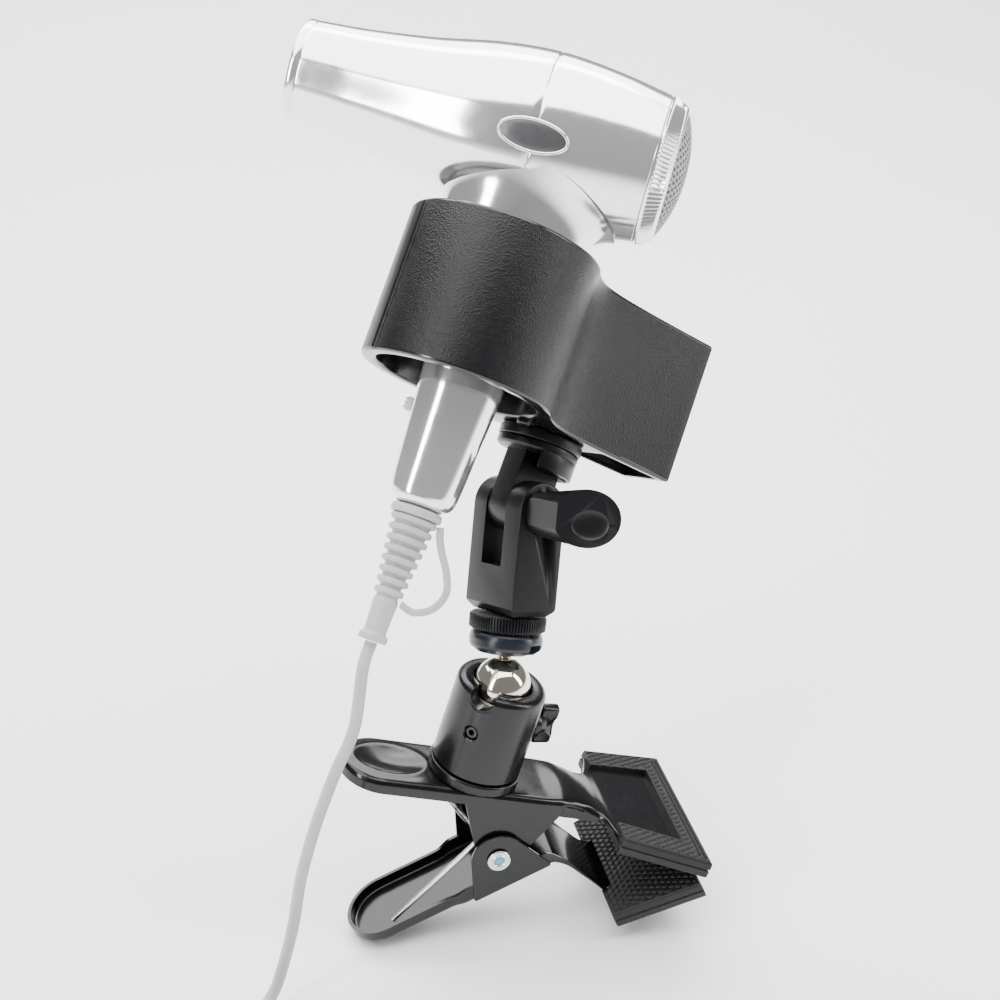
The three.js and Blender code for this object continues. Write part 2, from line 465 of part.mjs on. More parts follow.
function cordTail() {
  const a = point(plugFrame(), 0, 0, -0.3);
  const away = dir(plugFrame(), 0, 0, -1);
  const f = FLOOR + CORD.r;
  return wire([[-140.8, -57.7, f], [-150.6, -62.6, f + 0.8], [-160.2, -69, f + 3.2],
    [a.x + away.x * 8, a.y + away.y * 8, a.z - 0.8], [a.x + away.x * 2, a.y + away.y * 2, a.z], [a.x, a.y, a.z]],
    CORD.r, 10, 12);
}
const plugBody = () => loft([[0, 4.4, 4.4], [9, 5, 5], [11, 7.6, 9], [16, 8.1, 14], [30, 8.1, 15], [33, 7, 14]], 20, plugFrame());
const plugPin = (y) => rod(2.35, 33.3, 52, 12, chain(plugFrame(), T(0, y, 0)));

// ---------- assembly ----------
add('upper_arm', upperArm(), BLACK_STEEL, U);
add('upper_pad', rubberPad(JAW.pad, jawFrame(), 3.5), RUBBER, U);
add('lower_arm', lowerArm(), BLACK_STEEL, L);
add('lower_pad', rubberPad(JAW.pad, lowJawFrame(), JAW.pad + 1), RUBBER, L);
add('pivot_rivet', rivet(), ZINC, T(0, 0, PIVOT.z));
add('torsion_spring', torsionSpring(), STEEL, L);
add('base_ring', cut(rod(21.2, ARM.top + 0.3, ARM.top + 0.3 + BALLHEAD.base, 40), rod(3.4, 0, 60, 20)), BLACK_STEEL, BASE);
add('ball_housing', ballHousing(), BLACK_STEEL, BASE);
add('ball_seat', ballSeat(), GREY_PLASTIC, BASE);
add('grub_screw', grubScrew(), STEEL, BASE);
add('base_screw', baseScrew(), STEEL, BASE);
add('lock_knob', lockKnob(), BLACK_STEEL, BASE);
add('ball', ball(), CHROME, K);
add('ball_stud', ballStud(), BRASS, K);
add('shoe_foot', shoeFoot(), BLACK_STEEL, K);
add('shoe_wheel', shoeWheel(), DARK_PLASTIC, K);
add('fork', fork(), DARK_PLASTIC, K);
add('knuckle_nut', knuckleNut(), STEEL, K);
add('knuckle_bolt', knuckleBolt(), STEEL, K);
add('wing_knob', wingKnob(), DARK_PLASTIC, K);
add('tongue', tongue(), DARK_PLASTIC, TILT);
add('swivel_disc', swivelDisc(), DARK_PLASTIC, TILT);
add('holder_stud', holderStud(), STEEL, TILT);
add('holder', holderBody(), DARK_PLASTIC, M);
add('barrel_front', cut(barrelPart(-DRYER.front, 0), wireWay()), CHROME);
add('barrel_rear', cut(barrelPart(0, DRYER.rear), wireWay()), CHROME);
add('handle', handleShell(), CHROME);
add('rear_cap', rearCap(), CHROME);
add('rear_grille', rearGrille(), GREY_PLASTIC);
add('badge', badge(), GREY_PLASTIC);
add('nozzle_grille', nozzleGrille(), STEEL);
add('heater_former', heaterFormer(), MICA);
for (let i = 0; i < 3; i++) add(`heater_coil_${i + 1}`, heaterCoil(i), STEEL);
add('motor_mount', motorMount(), GREY_PLASTIC);
add('motor', motor(), STEEL);
add('fan', fan(), GREY_PLASTIC);
add('power_switch', powerSwitch(), PALE_PLASTIC);
add('strain_relief', strainRelief(), PALE_PLASTIC);
add('hang_loop', hangLoop(), PALE_PLASTIC);
add('cord_run', cordRun(), PALE_PLASTIC);
add('cord_coil', coil(), PALE_PLASTIC);
add('cord_tail', cordTail(), PALE_PLASTIC);
add('plug_body', plugBody(), PALE_PLASTIC);
add('plug_pin_1', plugPin(-9.5), STEEL);
add('plug_pin_2', plugPin(9.5), STEEL);

// where each joint turns or slides, in the row frame (mm)
const pivot = (frame, p, axis) => [point(chain(ORIGIN, frame), ...p).toArray(), dir(frame, ...axis).toArray()];
const housingAxis = dir(BASE, 0, 0, 1);
const stackAxis = dir(K, 0, 0, 1);
const lean = new THREE.Vector3().crossVectors(housingAxis, stackAxis).normalize();
group.userData.pivots = {
  jaw_open: pivot(U, [0, 0, 0], [0, 1, 0]),
  lock_knob_turn: pivot(BASE.clone().multiply(RZ(BALLHEAD.knobSide)), [22, 0, BALLHEAD.centre - BALLHEAD.knobDrop], [1, 0, 0]),
  ball_lean: [point(ORIGIN, B.x, B.y, B.z).toArray(), lean.toArray()],
  stack_turn: pivot(K, [0, 0, 0], [0, 0, 1]),
  wheel_spin: pivot(K, [0, 0, STACK.wheel], [0, 0, 1]),
  knob_turn: pivot(K, [0, 0, STACK.pivot], [1, 0, 0]),
  knuckle_tilt: pivot(TILT, [0, 0, 0], [1, 0, 0]),
  holder_swivel: pivot(TILT, [0, 0, 28], [0, 0, 1]),
  dryer_lift: pivot(H, [0, 0, 0], [0, 0, 1]),
  cap_twist: pivot(G, [0, 0, DRYER.rear], [0, 0, 1]),
  fan_spin: pivot(G, [0, 0, 6], [0, 0, 1]),
  power_switch_slide: pivot(H, [-16, 0, -125.5], [0, 0, 1]),
  floor: pivot(T(0, 0, FLOOR), [0, 0, 0], [0, 0, 1]),
  nozzle: pivot(G, [0, 0, -DRYER.front], [0, 0, -1]),
  ring: pivot(M, [0, 0, 0], [0, 0, 1]),
  ring_top: pivot(M, [0, 0, RING.h], [0, 0, 1]),
  tail: pivot(M, [RING.tail, 10, RING.h / 2], [1, 0, 0]),
  barrel: pivot(G, [0, 0, 0], [0, 0, 1]),
  handle: pivot(H, [0, 0, 0], [1, 0, 0]),
};

export default group;
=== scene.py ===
"""Pet dryer standing in a ring holder on a ball-head stand, gripped by a sprung clamp. Metres, +Z up.

Sizes are in millimetres in each piece's own frame and become metres in the row frame when a mesh is made.
Frames: U upper clamp arm, L lower arm, BASE ball head, K ball and knuckle, TILT tilting head,
M holder ring, H dryer handle, G dryer barrel (its Z runs to the rear).
"""
import json
import math

import bmesh
import bpy
from mathutils import Matrix, Vector


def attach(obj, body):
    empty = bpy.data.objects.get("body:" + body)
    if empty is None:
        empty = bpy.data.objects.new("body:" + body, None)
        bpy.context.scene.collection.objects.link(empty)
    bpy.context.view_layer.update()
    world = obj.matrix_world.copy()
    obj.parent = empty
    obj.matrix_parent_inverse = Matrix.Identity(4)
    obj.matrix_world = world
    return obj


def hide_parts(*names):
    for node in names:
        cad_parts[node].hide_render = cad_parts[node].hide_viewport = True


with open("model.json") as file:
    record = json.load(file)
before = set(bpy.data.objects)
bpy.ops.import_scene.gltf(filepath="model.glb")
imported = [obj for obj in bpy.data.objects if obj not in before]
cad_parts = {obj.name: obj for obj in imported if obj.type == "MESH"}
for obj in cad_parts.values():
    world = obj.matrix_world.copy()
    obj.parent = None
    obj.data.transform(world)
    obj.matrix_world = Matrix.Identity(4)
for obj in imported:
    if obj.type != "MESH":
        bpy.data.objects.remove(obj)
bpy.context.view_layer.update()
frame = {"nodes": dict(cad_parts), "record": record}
NODES = frame["nodes"]

# ---------- frames ----------
MM = 0.001
JAW = dict(start=46.8, length=47, neck=34, mouth=42, drop=4.3, z=27.3, pad=7)
LOWJAW = dict(start=33, z=-47)
HANDLE_LEN = 165.3
BALL_Z = 78.3  # ball's centre above the clamp arm
KNUCKLE_Z = 80  # fork's cross axis above the ball's centre
PIN_BORE = 3.35  # radius of the holes for quarter-inch screws
RIVET_BORE = 2.9  # radius of the holes for the rivet


def T(x, y, z):
    return Matrix.Translation((x, y, z))


def R(axis, degrees):
    return Matrix.Rotation(math.radians(degrees), 4, axis)


PIVOT = T(0, 0, 41.5)
U = PIVOT @ R("Y", 17.3)
L = PIVOT @ R("Y", -22.6)
BASE = U @ T(-18, 0, 0)
CENTRE = BASE @ Vector((0, 0, BALL_Z))
K = Matrix.Translation(CENTRE) @ R("Y", 10.6) @ R("X", -20.9) @ R("Z", -70)
KNUCKLE = K @ T(0, 0, KNUCKLE_Z)
TILT = KNUCKLE @ R("X", -17.2)
M = TILT @ T(0, 0, 33.6) @ R("Z", 87) @ T(-58.9, -15.4, 0)
H = M @ T(2.4, 0, 112.7) @ R("Z", -36)
G = H @ R("Y", -2.4) @ T(-3, 0, 0) @ R("Y", 90) @ R("Z", 180)
GRIP = U @ Vector((JAW["start"] + JAW["length"] - 9, 0, JAW["z"] - JAW["drop"] - JAW["pad"] + 0.4))
ROW = Matrix.Translation(-GRIP)
FLOOR = (L @ Vector((-78, 0, -17.2))).z
LOCK_KNOB = BASE @ R("Z", 12) @ T(0, 0, 58.3) @ R("Y", 90)
IDENTITY = Matrix.Identity(4)


def place(at):
    """From a piece's frame in millimetres to the row frame in metres."""
    return Matrix.Scale(MM, 4) @ ROW @ at


# ---------- camera ----------
def make_camera():
    data = bpy.data.cameras.new("camera")
    data.lens, data.sensor_width, data.clip_start = 57.9, 36, 0.01
    cam = bpy.data.objects.new("camera", data)
    bpy.context.scene.collection.objects.link(cam)
    cam.location = (-0.21244, -0.58645, 0.48415)
    aim = Vector((-0.07715, 0.01534, 0.17382)) - cam.location
    cam.rotation_euler = aim.to_track_quat("-Z", "Y").to_euler()
    bpy.context.scene.camera = cam


make_camera()


# ---------- materials ----------
def material(name, color, rough, metal=0.0, coat=0.0, bump=None, vary=0.06, wear=0.0, rough_vary=0.08,
             spec=0.5, scale=60.0):
    """Shader with fine colour and roughness variation, and bump layers of (kind, scale, strength)."""
    m = bpy.data.materials.new(name)
    m.use_nodes = True
    nt = m.node_tree
    n, link = nt.nodes, nt.links.new
    b = n["Principled BSDF"]
    b.inputs["Metallic"].default_value = metal
    b.inputs["Coat Weight"].default_value = coat
    b.inputs["Coat Roughness"].default_value = 0.06
    b.inputs["Specular IOR Level"].default_value = spec
    place_at = n.new("ShaderNodeTexCoord")
    cloud = n.new("ShaderNodeTexNoise")
    cloud.inputs["Scale"].default_value = scale
    cloud.inputs["Detail"].default_value = 5
    link(place_at.outputs["Object"], cloud.inputs["Vector"])
    ramp = n.new("ShaderNodeValToRGB")
    ramp.color_ramp.elements[0].position, ramp.color_ramp.elements[1].position = 0.3, 0.7
    dark = [c * (1 - vary) for c in color]
    light = [min(1, c * (1 + vary)) for c in color]
    ramp.color_ramp.elements[0].color = (*dark, 1)
    ramp.color_ramp.elements[1].color = (*light, 1)
    link(cloud.outputs["Fac"], ramp.inputs["Fac"])
    shade = ramp.outputs["Color"]
    if wear:
        geo = n.new("ShaderNodeNewGeometry")
        edge = n.new("ShaderNodeMapRange")
        edge.inputs["From Min"].default_value, edge.inputs["From Max"].default_value = 0.53, 0.62
        edge.inputs["To Max"].default_value = wear
        link(geo.outputs["Pointiness"], edge.inputs["Value"])
        mix = n.new("ShaderNodeMix")
        mix.data_type = "RGBA"
        mix.inputs["B"].default_value = (*[min(1, c * 2.2 + 0.05) for c in color], 1)
        link(edge.outputs["Result"], mix.inputs["Factor"])
        link(shade, mix.inputs["A"])
        shade = mix.outputs["Result"]
    link(shade, b.inputs["Base Color"])
    fine = n.new("ShaderNodeTexNoise")
    fine.inputs["Scale"].default_value = scale * 3.1
    fine.inputs["Detail"].default_value = 4
    link(place_at.outputs["Object"], fine.inputs["Vector"])
    span = n.new("ShaderNodeMapRange")
    span.inputs["To Min"].default_value = max(0.02, rough - rough_vary)
    span.inputs["To Max"].default_value = min(1, rough + rough_vary)
    link(fine.outputs["Fac"], span.inputs["Value"])
    link(span.outputs["Result"], b.inputs["Roughness"])
    last = None
    for kind, size, strength in bump or []:
        tex = n.new("ShaderNodeTexVoronoi" if kind == "cell" else "ShaderNodeTexNoise")
        tex.inputs["Scale"].default_value = size
        link(place_at.outputs["Object"], tex.inputs["Vector"])
        node = n.new("ShaderNodeBump")
        node.inputs["Strength"].default_value = strength
        node.inputs["Distance"].default_value = 0.0004
        link(tex.outputs["Distance" if kind == "cell" else "Fac"], node.inputs["Height"])
        if last:
            link(last.outputs["Normal"], node.inputs["Normal"])
        last = node
    if last:
        link(last.outputs["Normal"], b.inputs["Normal"])
    return m


ENAMEL = material("gloss_black_enamel", (0.003, 0.003, 0.004), 0.18, spec=0.38, bump=[("fine", 260, 0.05)],
                  wear=0.15)
ANODISED = material("black_anodised", (0.004, 0.004, 0.005), 0.24, spec=0.34, bump=[("fine", 900, 0.1)],
                    wear=0.2)
BLUED = material("blue_black_plate", (0.007, 0.01, 0.016), 0.3, spec=0.4, bump=[("fine", 700, 0.1)],
                 wear=0.2)
BLACKENED = material("blackened_steel", (0.05, 0.05, 0.055), 0.3, metal=0.9, bump=[("fine", 700, 0.1)],
                     vary=0.1)
RUBBER = material("pad_rubber", (0.006, 0.006, 0.006), 0.5, spec=0.3,
                  bump=[("fine", 900, 0.2), ("cell", 500, 0.06)],
                  vary=0.2, wear=0.4)
ZINC = material("zinc_plate", (0.66, 0.67, 0.68), 0.22, metal=1.0, bump=[("fine", 600, 0.08)], vary=0.08)
CHROMATE = material("blue_chromate", (0.12, 0.3, 0.34), 0.3, metal=1.0, bump=[("fine", 600, 0.1)],
                    vary=0.15)
SPRING = material("spring_wire", (0.8, 0.8, 0.81), 0.2, metal=1.0, bump=[("fine", 500, 0.06)], vary=0.1)
BALL_CHROME = material("ball_chrome", (0.84, 0.78, 0.68), 0.07, metal=1.0, rough_vary=0.03, vary=0.03)
BRASS = material("brass", (0.66, 0.56, 0.38), 0.26, metal=1.0, vary=0.12, bump=[("fine", 500, 0.05)])
GRAIN = material("grained_plastic", (0.004, 0.004, 0.005), 0.33, spec=0.32,
                 bump=[("cell", 1300, 0.4), ("fine", 2600, 0.3)],
                 vary=0.15, wear=0.2)
SATIN = material("satin_plastic", (0.005, 0.005, 0.006), 0.34, spec=0.28, bump=[("fine", 1100, 0.14)],
                 vary=0.12, wear=0.2)
GLOSS = material("gloss_plastic", (0.006, 0.006, 0.006), 0.16, spec=0.6, bump=[("fine", 300, 0.03)],
                 vary=0.1)
SHELL = material("bright_shell", (0.93, 0.93, 0.92), 0.12, metal=0.88, rough_vary=0.04, vary=0.01, coat=0.3,
                 bump=[("fine", 120, 0.015)])
MESH_GREY = material("mesh_grey", (0.36, 0.37, 0.38), 0.42, metal=0.3, bump=[("fine", 900, 0.15)])
BADGE_GREY = material("badge_grey", (0.1, 0.1, 0.105), 0.3, metal=0.5, bump=[("fine", 1600, 0.2)])
PALE = material("pale_plastic", (0.62, 0.62, 0.61), 0.45, bump=[("fine", 1200, 0.15)], vary=0.04)
SHEATH = material("cord_sheath", (0.42, 0.42, 0.415), 0.45, bump=[("fine", 900, 0.15)], vary=0.05)
MICA = material("mica_board", (0.5, 0.45, 0.36), 0.6, bump=[("cell", 300, 0.2)], vary=0.15)

CAD_LOOK = {
    ENAMEL: ["upper_arm", "lower_arm"], ANODISED: ["base_ring", "ball_housing", "lock_knob"],
            BLUED: ["shoe_foot"],
    RUBBER: ["upper_pad", "lower_pad"], ZINC: ["pivot_rivet", "grub_screw", "base_screw", "knuckle_nut",
    "knuckle_bolt", "holder_stud", "nozzle_grille", "motor", "plug_pin_1", "plug_pin_2", "heater_coil_1",
    "heater_coil_2", "heater_coil_3"], SPRING: ["torsion_spring"], BALL_CHROME: ["ball"],
            BRASS: ["ball_stud"],
    GRAIN: ["holder", "fork"], SATIN: ["wing_knob", "tongue", "swivel_disc", "shoe_wheel"],
    SHELL: ["barrel_front", "barrel_rear", "handle", "rear_cap"], MESH_GREY: ["rear_grille", "ball_seat",
    "motor_mount", "fan"], BADGE_GREY: ["badge"], PALE: ["power_switch", "plug_body"],
    SHEATH: ["strain_relief", "hang_loop", "cord_run", "cord_coil", "cord_tail"], MICA: ["heater_former"],
}


def dress_cad_nodes():
    for look, names in CAD_LOOK.items():
        for name in names:
            o = NODES[name]
            o.data.materials.clear()
            o.data.materials.append(look)
            weld = o.modifiers.new("weld", "WELD")
            weld.merge_threshold = 0.00002
            smooth_by_angle(o)


def smooth_by_angle(o, degrees=32):
    for p in o.data.polygons:
        p.use_smooth = True
    split = o.modifiers.new("split", "EDGE_SPLIT")
    split.split_angle = math.radians(degrees)
    split.use_edge_sharp = False


# ---------- mesh helpers (millimetres in the piece's frame) ----------
def rad(degrees):
    return math.radians(degrees)


def arc(cx, cy, r, a0, a1, n):
    return [(cx + r * math.cos(rad(a0 + (a1 - a0) * i / n)), cy + r * math.sin(rad(a0 + (a1 - a0) * i / n)))
            for i in range(n + 1)]


def fillet(points, r, steps=4, closed=False):
    """The outline with each corner rounded to radius r, or less where its sides are short."""
    pts = [Vector(p).to_2d() for p in points]
    out = []
    for i, p in enumerate(pts):
        if not closed and i in (0, len(pts) - 1):
            out.append(tuple(p))
            continue
        a, b = pts[i - 1] - p, pts[(i + 1) % len(pts)] - p
        turn = a.angle(b, math.pi)
        if turn > rad(172) or a.length < 1e-6 or b.length < 1e-6:
            out.append(tuple(p))
            continue
        reach = min(r / math.tan(turn / 2), a.length * 0.45, b.length * 0.45)
        s, e = p + a.normalized() * reach, p + b.normalized() * reach
        for k in range(steps + 1):
            t = k / steps
            out.append(tuple(s * (1 - t) ** 2 + p * 2 * t * (1 - t) + e * t * t))
    return out


def box(x0, x1, y0, y1, r, steps):
    """Rectangle with rounded corners."""
    return fillet([(x0, y0), (x1, y0), (x1, y1), (x0, y1)], r, steps, True)


def signed_power(v, p):
    return math.copysign(abs(v) ** p, v)


def skin(bm, rings, cap=True, loop=False):
    """Quads between successive rings of points. cap closes both ends; loop joins last to first."""
    rows = [[bm.verts.new(p) for p in ring] for ring in rings]
    n = len(rings[0])
    pairs = list(zip(rows, rows[1:])) + ([(rows[-1], rows[0])] if loop else [])
    for a, b in pairs:
        for i in range(n):
            j = (i + 1) % n
            bm.faces.new((a[i], a[j], b[j], b[i]))
    if cap and not loop:
        bm.faces.new(rows[0][::-1])
        bm.faces.new(rows[-1])
    return rows


def lathe(profile, sides=72, loop=False, bm=None):
    """Turned piece about Z from (radius, height) pairs."""
    bm = bm or bmesh.new()
    turns = [2 * math.pi * i / sides for i in range(sides)]
    rings = [[(max(r, 1e-4) * math.cos(t), max(r, 1e-4) * math.sin(t), z) for t in turns] for r,
             z in profile]
    skin(bm, rings, loop=loop)
    return bm


def rod(r, z0, z1, sides=32):
    """Plain cylinder about Z, or a prism where it has few sides."""
    return lathe([(0, z0), (r, z0), (r, z1), (0, z1)], sides)


def ribbed(rows, ribs, steps, crest=1.0):
    """Ring about Z from (height, radius, rib depth) rows. A crest below 1 cuts the ribs off flat."""
    rings = []
    for z, r, d in rows:
        ring = []
        for i in range(steps):
            t = 2 * math.pi * i / steps
            q = r + d * max(-crest, min(crest, math.sin(ribs * t))) / crest
            ring.append((q * math.cos(t), q * math.sin(t), z))
        rings.append(ring)
    bm = bmesh.new()
    skin(bm, rings, loop=True)
    return bm


def inset(outline, d):
    """The closed outline moved inwards by d."""
    pts = [Vector(p) for p in outline]
    area = sum(a.x * b.y - b.x * a.y for a, b in zip(pts, pts[1:] + pts[:1]))
    out = []
    for i, p in enumerate(pts):
        a, b = (p - pts[i - 1]), (pts[(i + 1) % len(pts)] - p)
        if a.length < 1e-6 or b.length < 1e-6:
            out.append(p)
            continue
        na, nb = Vector((-a.y, a.x)).normalized(), Vector((-b.y, b.x)).normalized()
        m = na + nb
        out.append(p + m / max(0.4, m.length_squared / 2) * (d if area > 0 else -d))
    return out


def slab(outline, z0, z1, edge=0.5, steps=3, bm=None):
    """Plate with the closed XY outline, its rims rounded to the radius edge."""
    bm = bm or bmesh.new()
    half = [(edge * (1 - math.sin(t)), edge * (1 - math.cos(t)))
            for t in [math.pi / 2 * k / steps for k in range(steps + 1)]]
    stack = [(d, z0 + h) for d, h in half] + [(d, z1 - h) for d, h in reversed(half)]
    skin(bm, [[(p.x, p.y, z) for p in inset(outline, d)] for d, z in stack])
    return bm


def smooth_path(points, n):
    """n + 1 points along the Catmull-Rom curve through the points."""
    p = [Vector(q) for q in points]
    p = [p[0] * 2 - p[1]] + p + [p[-1] * 2 - p[-2]]
    out = []
    for k in range(n + 1):
        t = k / n * (len(p) - 3)
        i = min(int(t), len(p) - 4)
        t -= i
        a, b, c, d = p[i:i + 4]
        out.append(0.5 * ((2 * b) + (c - a) * t + (2 * a - 5 * b + 4 * c - d) * t * t
                          + (3 * b - a - 3 * c + d) * t ** 3))
    return out


def tube(path, r, sides=16, bm=None, closed=False, flat=1.0):
    """Round wire of radius r along the path, squashed where flat is below 1."""
    bm = bm or bmesh.new()
    n = len(path)
    rings, side = [], None
    for i, p in enumerate(path):
        before, after = (path[i - 1], path[(i + 1) % n]) if closed or 0 < i < n - 1 else \
            (path[max(i - 1, 0)], path[min(i + 1, n - 1)])
        along = (after - before).normalized()
        side = (side - along * side.dot(along) if side else along.orthogonal()).normalized()
        up = along.cross(side)
        turns = [2 * math.pi * k / sides for k in range(sides)]
        rings.append([p + side * r * math.cos(t) + up * r * flat * math.sin(t) for t in turns])
    skin(bm, rings, loop=closed)
    return bm


def loft(sections, sides=64, power=2.0, bm=None):
    """Closed form through (height, half X, half Y, centre X) ovals; a power over 2 squares them."""
    bm = bm or bmesh.new()
    rings = []
    for z, a, b, cx in sections:
        ring = []
        for i in range(sides):
            t = 2 * math.pi * i / sides
            c, s = math.cos(t), math.sin(t)
            ring.append((cx + a * signed_power(c, 2 / power), b * signed_power(s, 2 / power), z))
        rings.append(ring)
    skin(bm, rings)
    return bm


def block(x0, x1, y0, y1, z0, z1, at=None):
    bm = bmesh.new()
    bmesh.ops.create_cube(bm, size=1, matrix=T((x0 + x1) / 2, (y0 + y1) / 2, (z0 + z1) / 2) @
                          Matrix.Diagonal((x1 - x0, y1 - y0, z1 - z0, 1)))
    return moved(bm, at) if at else bm


def moved(bm, at):
    bmesh.ops.transform(bm, matrix=at, verts=bm.verts)
    return bm


def joined(first, *others):
    for other in others:
        mesh = bpy.data.meshes.new("part")
        other.to_mesh(mesh)
        first.from_mesh(mesh)
        bpy.data.meshes.remove(mesh)
    return first


def carve(bm, *cutters):
    """The form less the cutters."""
    def as_object(b):
        bmesh.ops.remove_doubles(b, verts=b.verts, dist=1e-3)
        bmesh.ops.recalc_face_normals(b, faces=b.faces)
        mesh = bpy.data.meshes.new("form")
        b.to_mesh(mesh)
        o = bpy.data.objects.new("form", mesh)
        bpy.context.scene.collection.objects.link(o)
        return o
    body, tools = as_object(bm), [as_object(c) for c in cutters]
    for tool in tools:
        m = body.modifiers.new("cut", "BOOLEAN")
        m.operation, m.solver, m.object = "DIFFERENCE", "EXACT", tool
    done = body.evaluated_get(bpy.context.evaluated_depsgraph_get()).to_mesh()
    out = bmesh.new()
    out.from_mesh(done)
    for o in [body, *tools]:
        mesh = o.data
        bpy.data.objects.remove(o)
        bpy.data.meshes.remove(mesh)
    return out


def piece(name, bm, at, body, look, *nodes, bevel=0.0, angle=35, slot=None):
    """Makes the form an object in the row frame, on its body, standing for its CAD nodes."""
    bmesh.ops.remove_doubles(bm, verts=bm.verts, dist=1e-3)
    bmesh.ops.dissolve_degenerate(bm, dist=1e-4, edges=bm.edges)
    bmesh.ops.recalc_face_normals(bm, faces=bm.faces)
    mesh = bpy.data.meshes.new(name)
    bm.to_mesh(mesh)
    bm.free()
    mesh.transform(place(at))
    mesh.materials.append(look)
    mesh.shade_smooth()
    o = bpy.data.objects.new(name, mesh)
    bpy.context.scene.collection.objects.link(o)
    if bevel:
        m = o.modifiers.new("bevel", "BEVEL")
        m.width, m.segments, m.limit_method, m.angle_limit = bevel * MM, 2, "ANGLE", rad(angle)
        w = o.modifiers.new("normals", "WEIGHTED_NORMAL")
        w.keep_sharp = True
    else:
        mesh.set_sharp_from_angle(angle=rad(angle))
    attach(o, body)
    if nodes:
        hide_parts(*nodes)
        slot = slot or NODE_SLOT[nodes[0]]
    return o


NODE_SLOT = {s["node"]: s["material_slot"] for s in frame["record"]["subparts"]}


def level_slope(a, b, c):
    """Slope at b that keeps a curve from overshooting its points."""
    d0, d1 = (b[1] - a[1]) / max(b[0] - a[0], 1e-6), (c[1] - b[1]) / max(c[0] - b[0], 1e-6)
    return 0 if d0 * d1 <= 0 else 2 * d0 * d1 / (d0 + d1)


def curve(table, x, slope=level_slope):
    """Smooth value at x through the table's (x, value) pairs; slope works out each point's slope."""
    x = min(max(x, table[0][0]), table[-1][0])
    i = max(k for k in range(len(table) - 1) if table[k][0] <= x)
    p = [table[max(i - 1, 0)], table[i], table[i + 1], table[min(i + 2, len(table) - 1)]]
    h = p[2][0] - p[1][0]
    t = (x - p[1][0]) / h
    m1, m2 = slope(*p[:3]) * h, slope(*p[1:]) * h
    return ((2 * t ** 3 - 3 * t * t + 1) * p[1][1] + (t ** 3 - 2 * t * t + t) * m1
            + (3 * t * t - 2 * t ** 3) * p[2][1] + (t ** 3 - t * t) * m2)


# ---------- dryer ----------
FRONT, REAR, SEAM_R, WALL = -107.3, 49, 37, 2.2
BARREL = [(FRONT + 5, 22.9), (-94, 23.6), (-81, 24.9), (-54, 28.9), (-28, 34.2), (-12.5, 36.3), (0, SEAM_R),
          (12, 36.6), (30, 34.8), (REAR, 31.8)]


def barrel_radius(z):
    """Outer radius of the barrel at a distance from its seam, nozzle side negative."""
    return curve(BARREL, z, lambda a, b, c: (c[1] - a[1]) / max(c[0] - a[0], 1e-6))


def barrel_shell(z0, z1, lip0, lip1):
    """Shell of the barrel between two stations; each rim is a (radius, height) list."""
    n = 40
    outside = [(barrel_radius(z0 + (z1 - z0) * k / n), z0 + (z1 - z0) * k / n) for k in range(n + 1)]
    inside = [(r - WALL, z) for r, z in reversed(outside)]
    return lathe(outside + lip1 + inside + lip0, 128, loop=True)


def make_barrel():
    r = barrel_radius(FRONT + 5)
    nozzle = [(r - WALL, FRONT + 2), (r - WALL + 0.3, FRONT + 0.5), (r - 1.2, FRONT),
              (r - 0.5, FRONT + 0.3),
              (r - 0.15, FRONT + 1), (r - 0.15, FRONT + 3.4), (r - 0.35, FRONT + 3.8),
              (r - 0.1, FRONT + 4.2)]
    seam_front = [(SEAM_R - 0.25, -0.22), (SEAM_R - 0.5, -0.15), (SEAM_R - 0.5, 0.6), (SEAM_R - WALL, 0.6)]
    piece("barrel_front_shell", barrel_shell(FRONT + 5, -0.6, nozzle, seam_front), G, "dryer", SHELL,
          "barrel_front")
    seam_rear = [(SEAM_R - WALL, 0.7), (SEAM_R - 0.45, 0.65), (SEAM_R - 0.45, 0.15), (SEAM_R - 0.2, 0.2)]
    r = barrel_radius(REAR)
    rim = [(r - 0.2, REAR + 0.2), (r - 0.6, REAR + 0.25), (r - WALL, REAR + 0.25)]
    piece("barrel_rear_shell", barrel_shell(0.6, REAR, seam_rear, rim), G, "dryer", SHELL, "barrel_rear")


def on_barrel(z, across, out, side=108):
    """Point at a place on the barrel's skin, measured from the badge's middle, pushed out by a distance."""
    a = rad(side) + across / (barrel_radius(z) + out)
    r = barrel_radius(z) + out
    return Vector((r * math.cos(a), r * math.sin(a), z))


def make_badge():
    half, wide, n = 14.4, 6.3, 72

    def oval(share, out):
        turns = [2 * math.pi * i / n for i in range(n)]
        return [on_barrel(half * share * math.cos(t), wide * share * math.sin(t), out) for t in turns]
    piece("badge_rim", tube(oval(1, 0.25), 0.75, 12, closed=True), G, "dryer", SHELL, slot="shell_bright")
    bm = bmesh.new()
    layers = ((0.96, -0.6), (0.96, 0.2), (0.9, 0.42), (0.6, 0.5), (0.3, 0.55), (0.01, 0.56))
    skin(bm, [oval(share, out) for share, out in layers])
    piece("badge_plate", bm, G, "dryer", BADGE_GREY, "badge")


HANDLE = [(-HANDLE_LEN, 8.6, 7.8), (-165.1, 9.8, 9), (-164.4, 11.4, 10.6), (-163.2, 12.7, 11.9),
          (-161.5, 13.7, 12.8),
          (-159, 14.4, 13.3), (-150, 15.2, 13.8), (-120, 17.1, 15), (-100, 18.5, 15.8), (-80, 20.3, 16.5),
          (-68, 22.6, 17.1), (-60, 25, 17.6), (-53, 28.4, 18), (-49, 30.6, 18.2),
          (-46, 30.6, 17.9), (-43, 29, 17), (-40, 25, 15), (-37, 18, 11)]


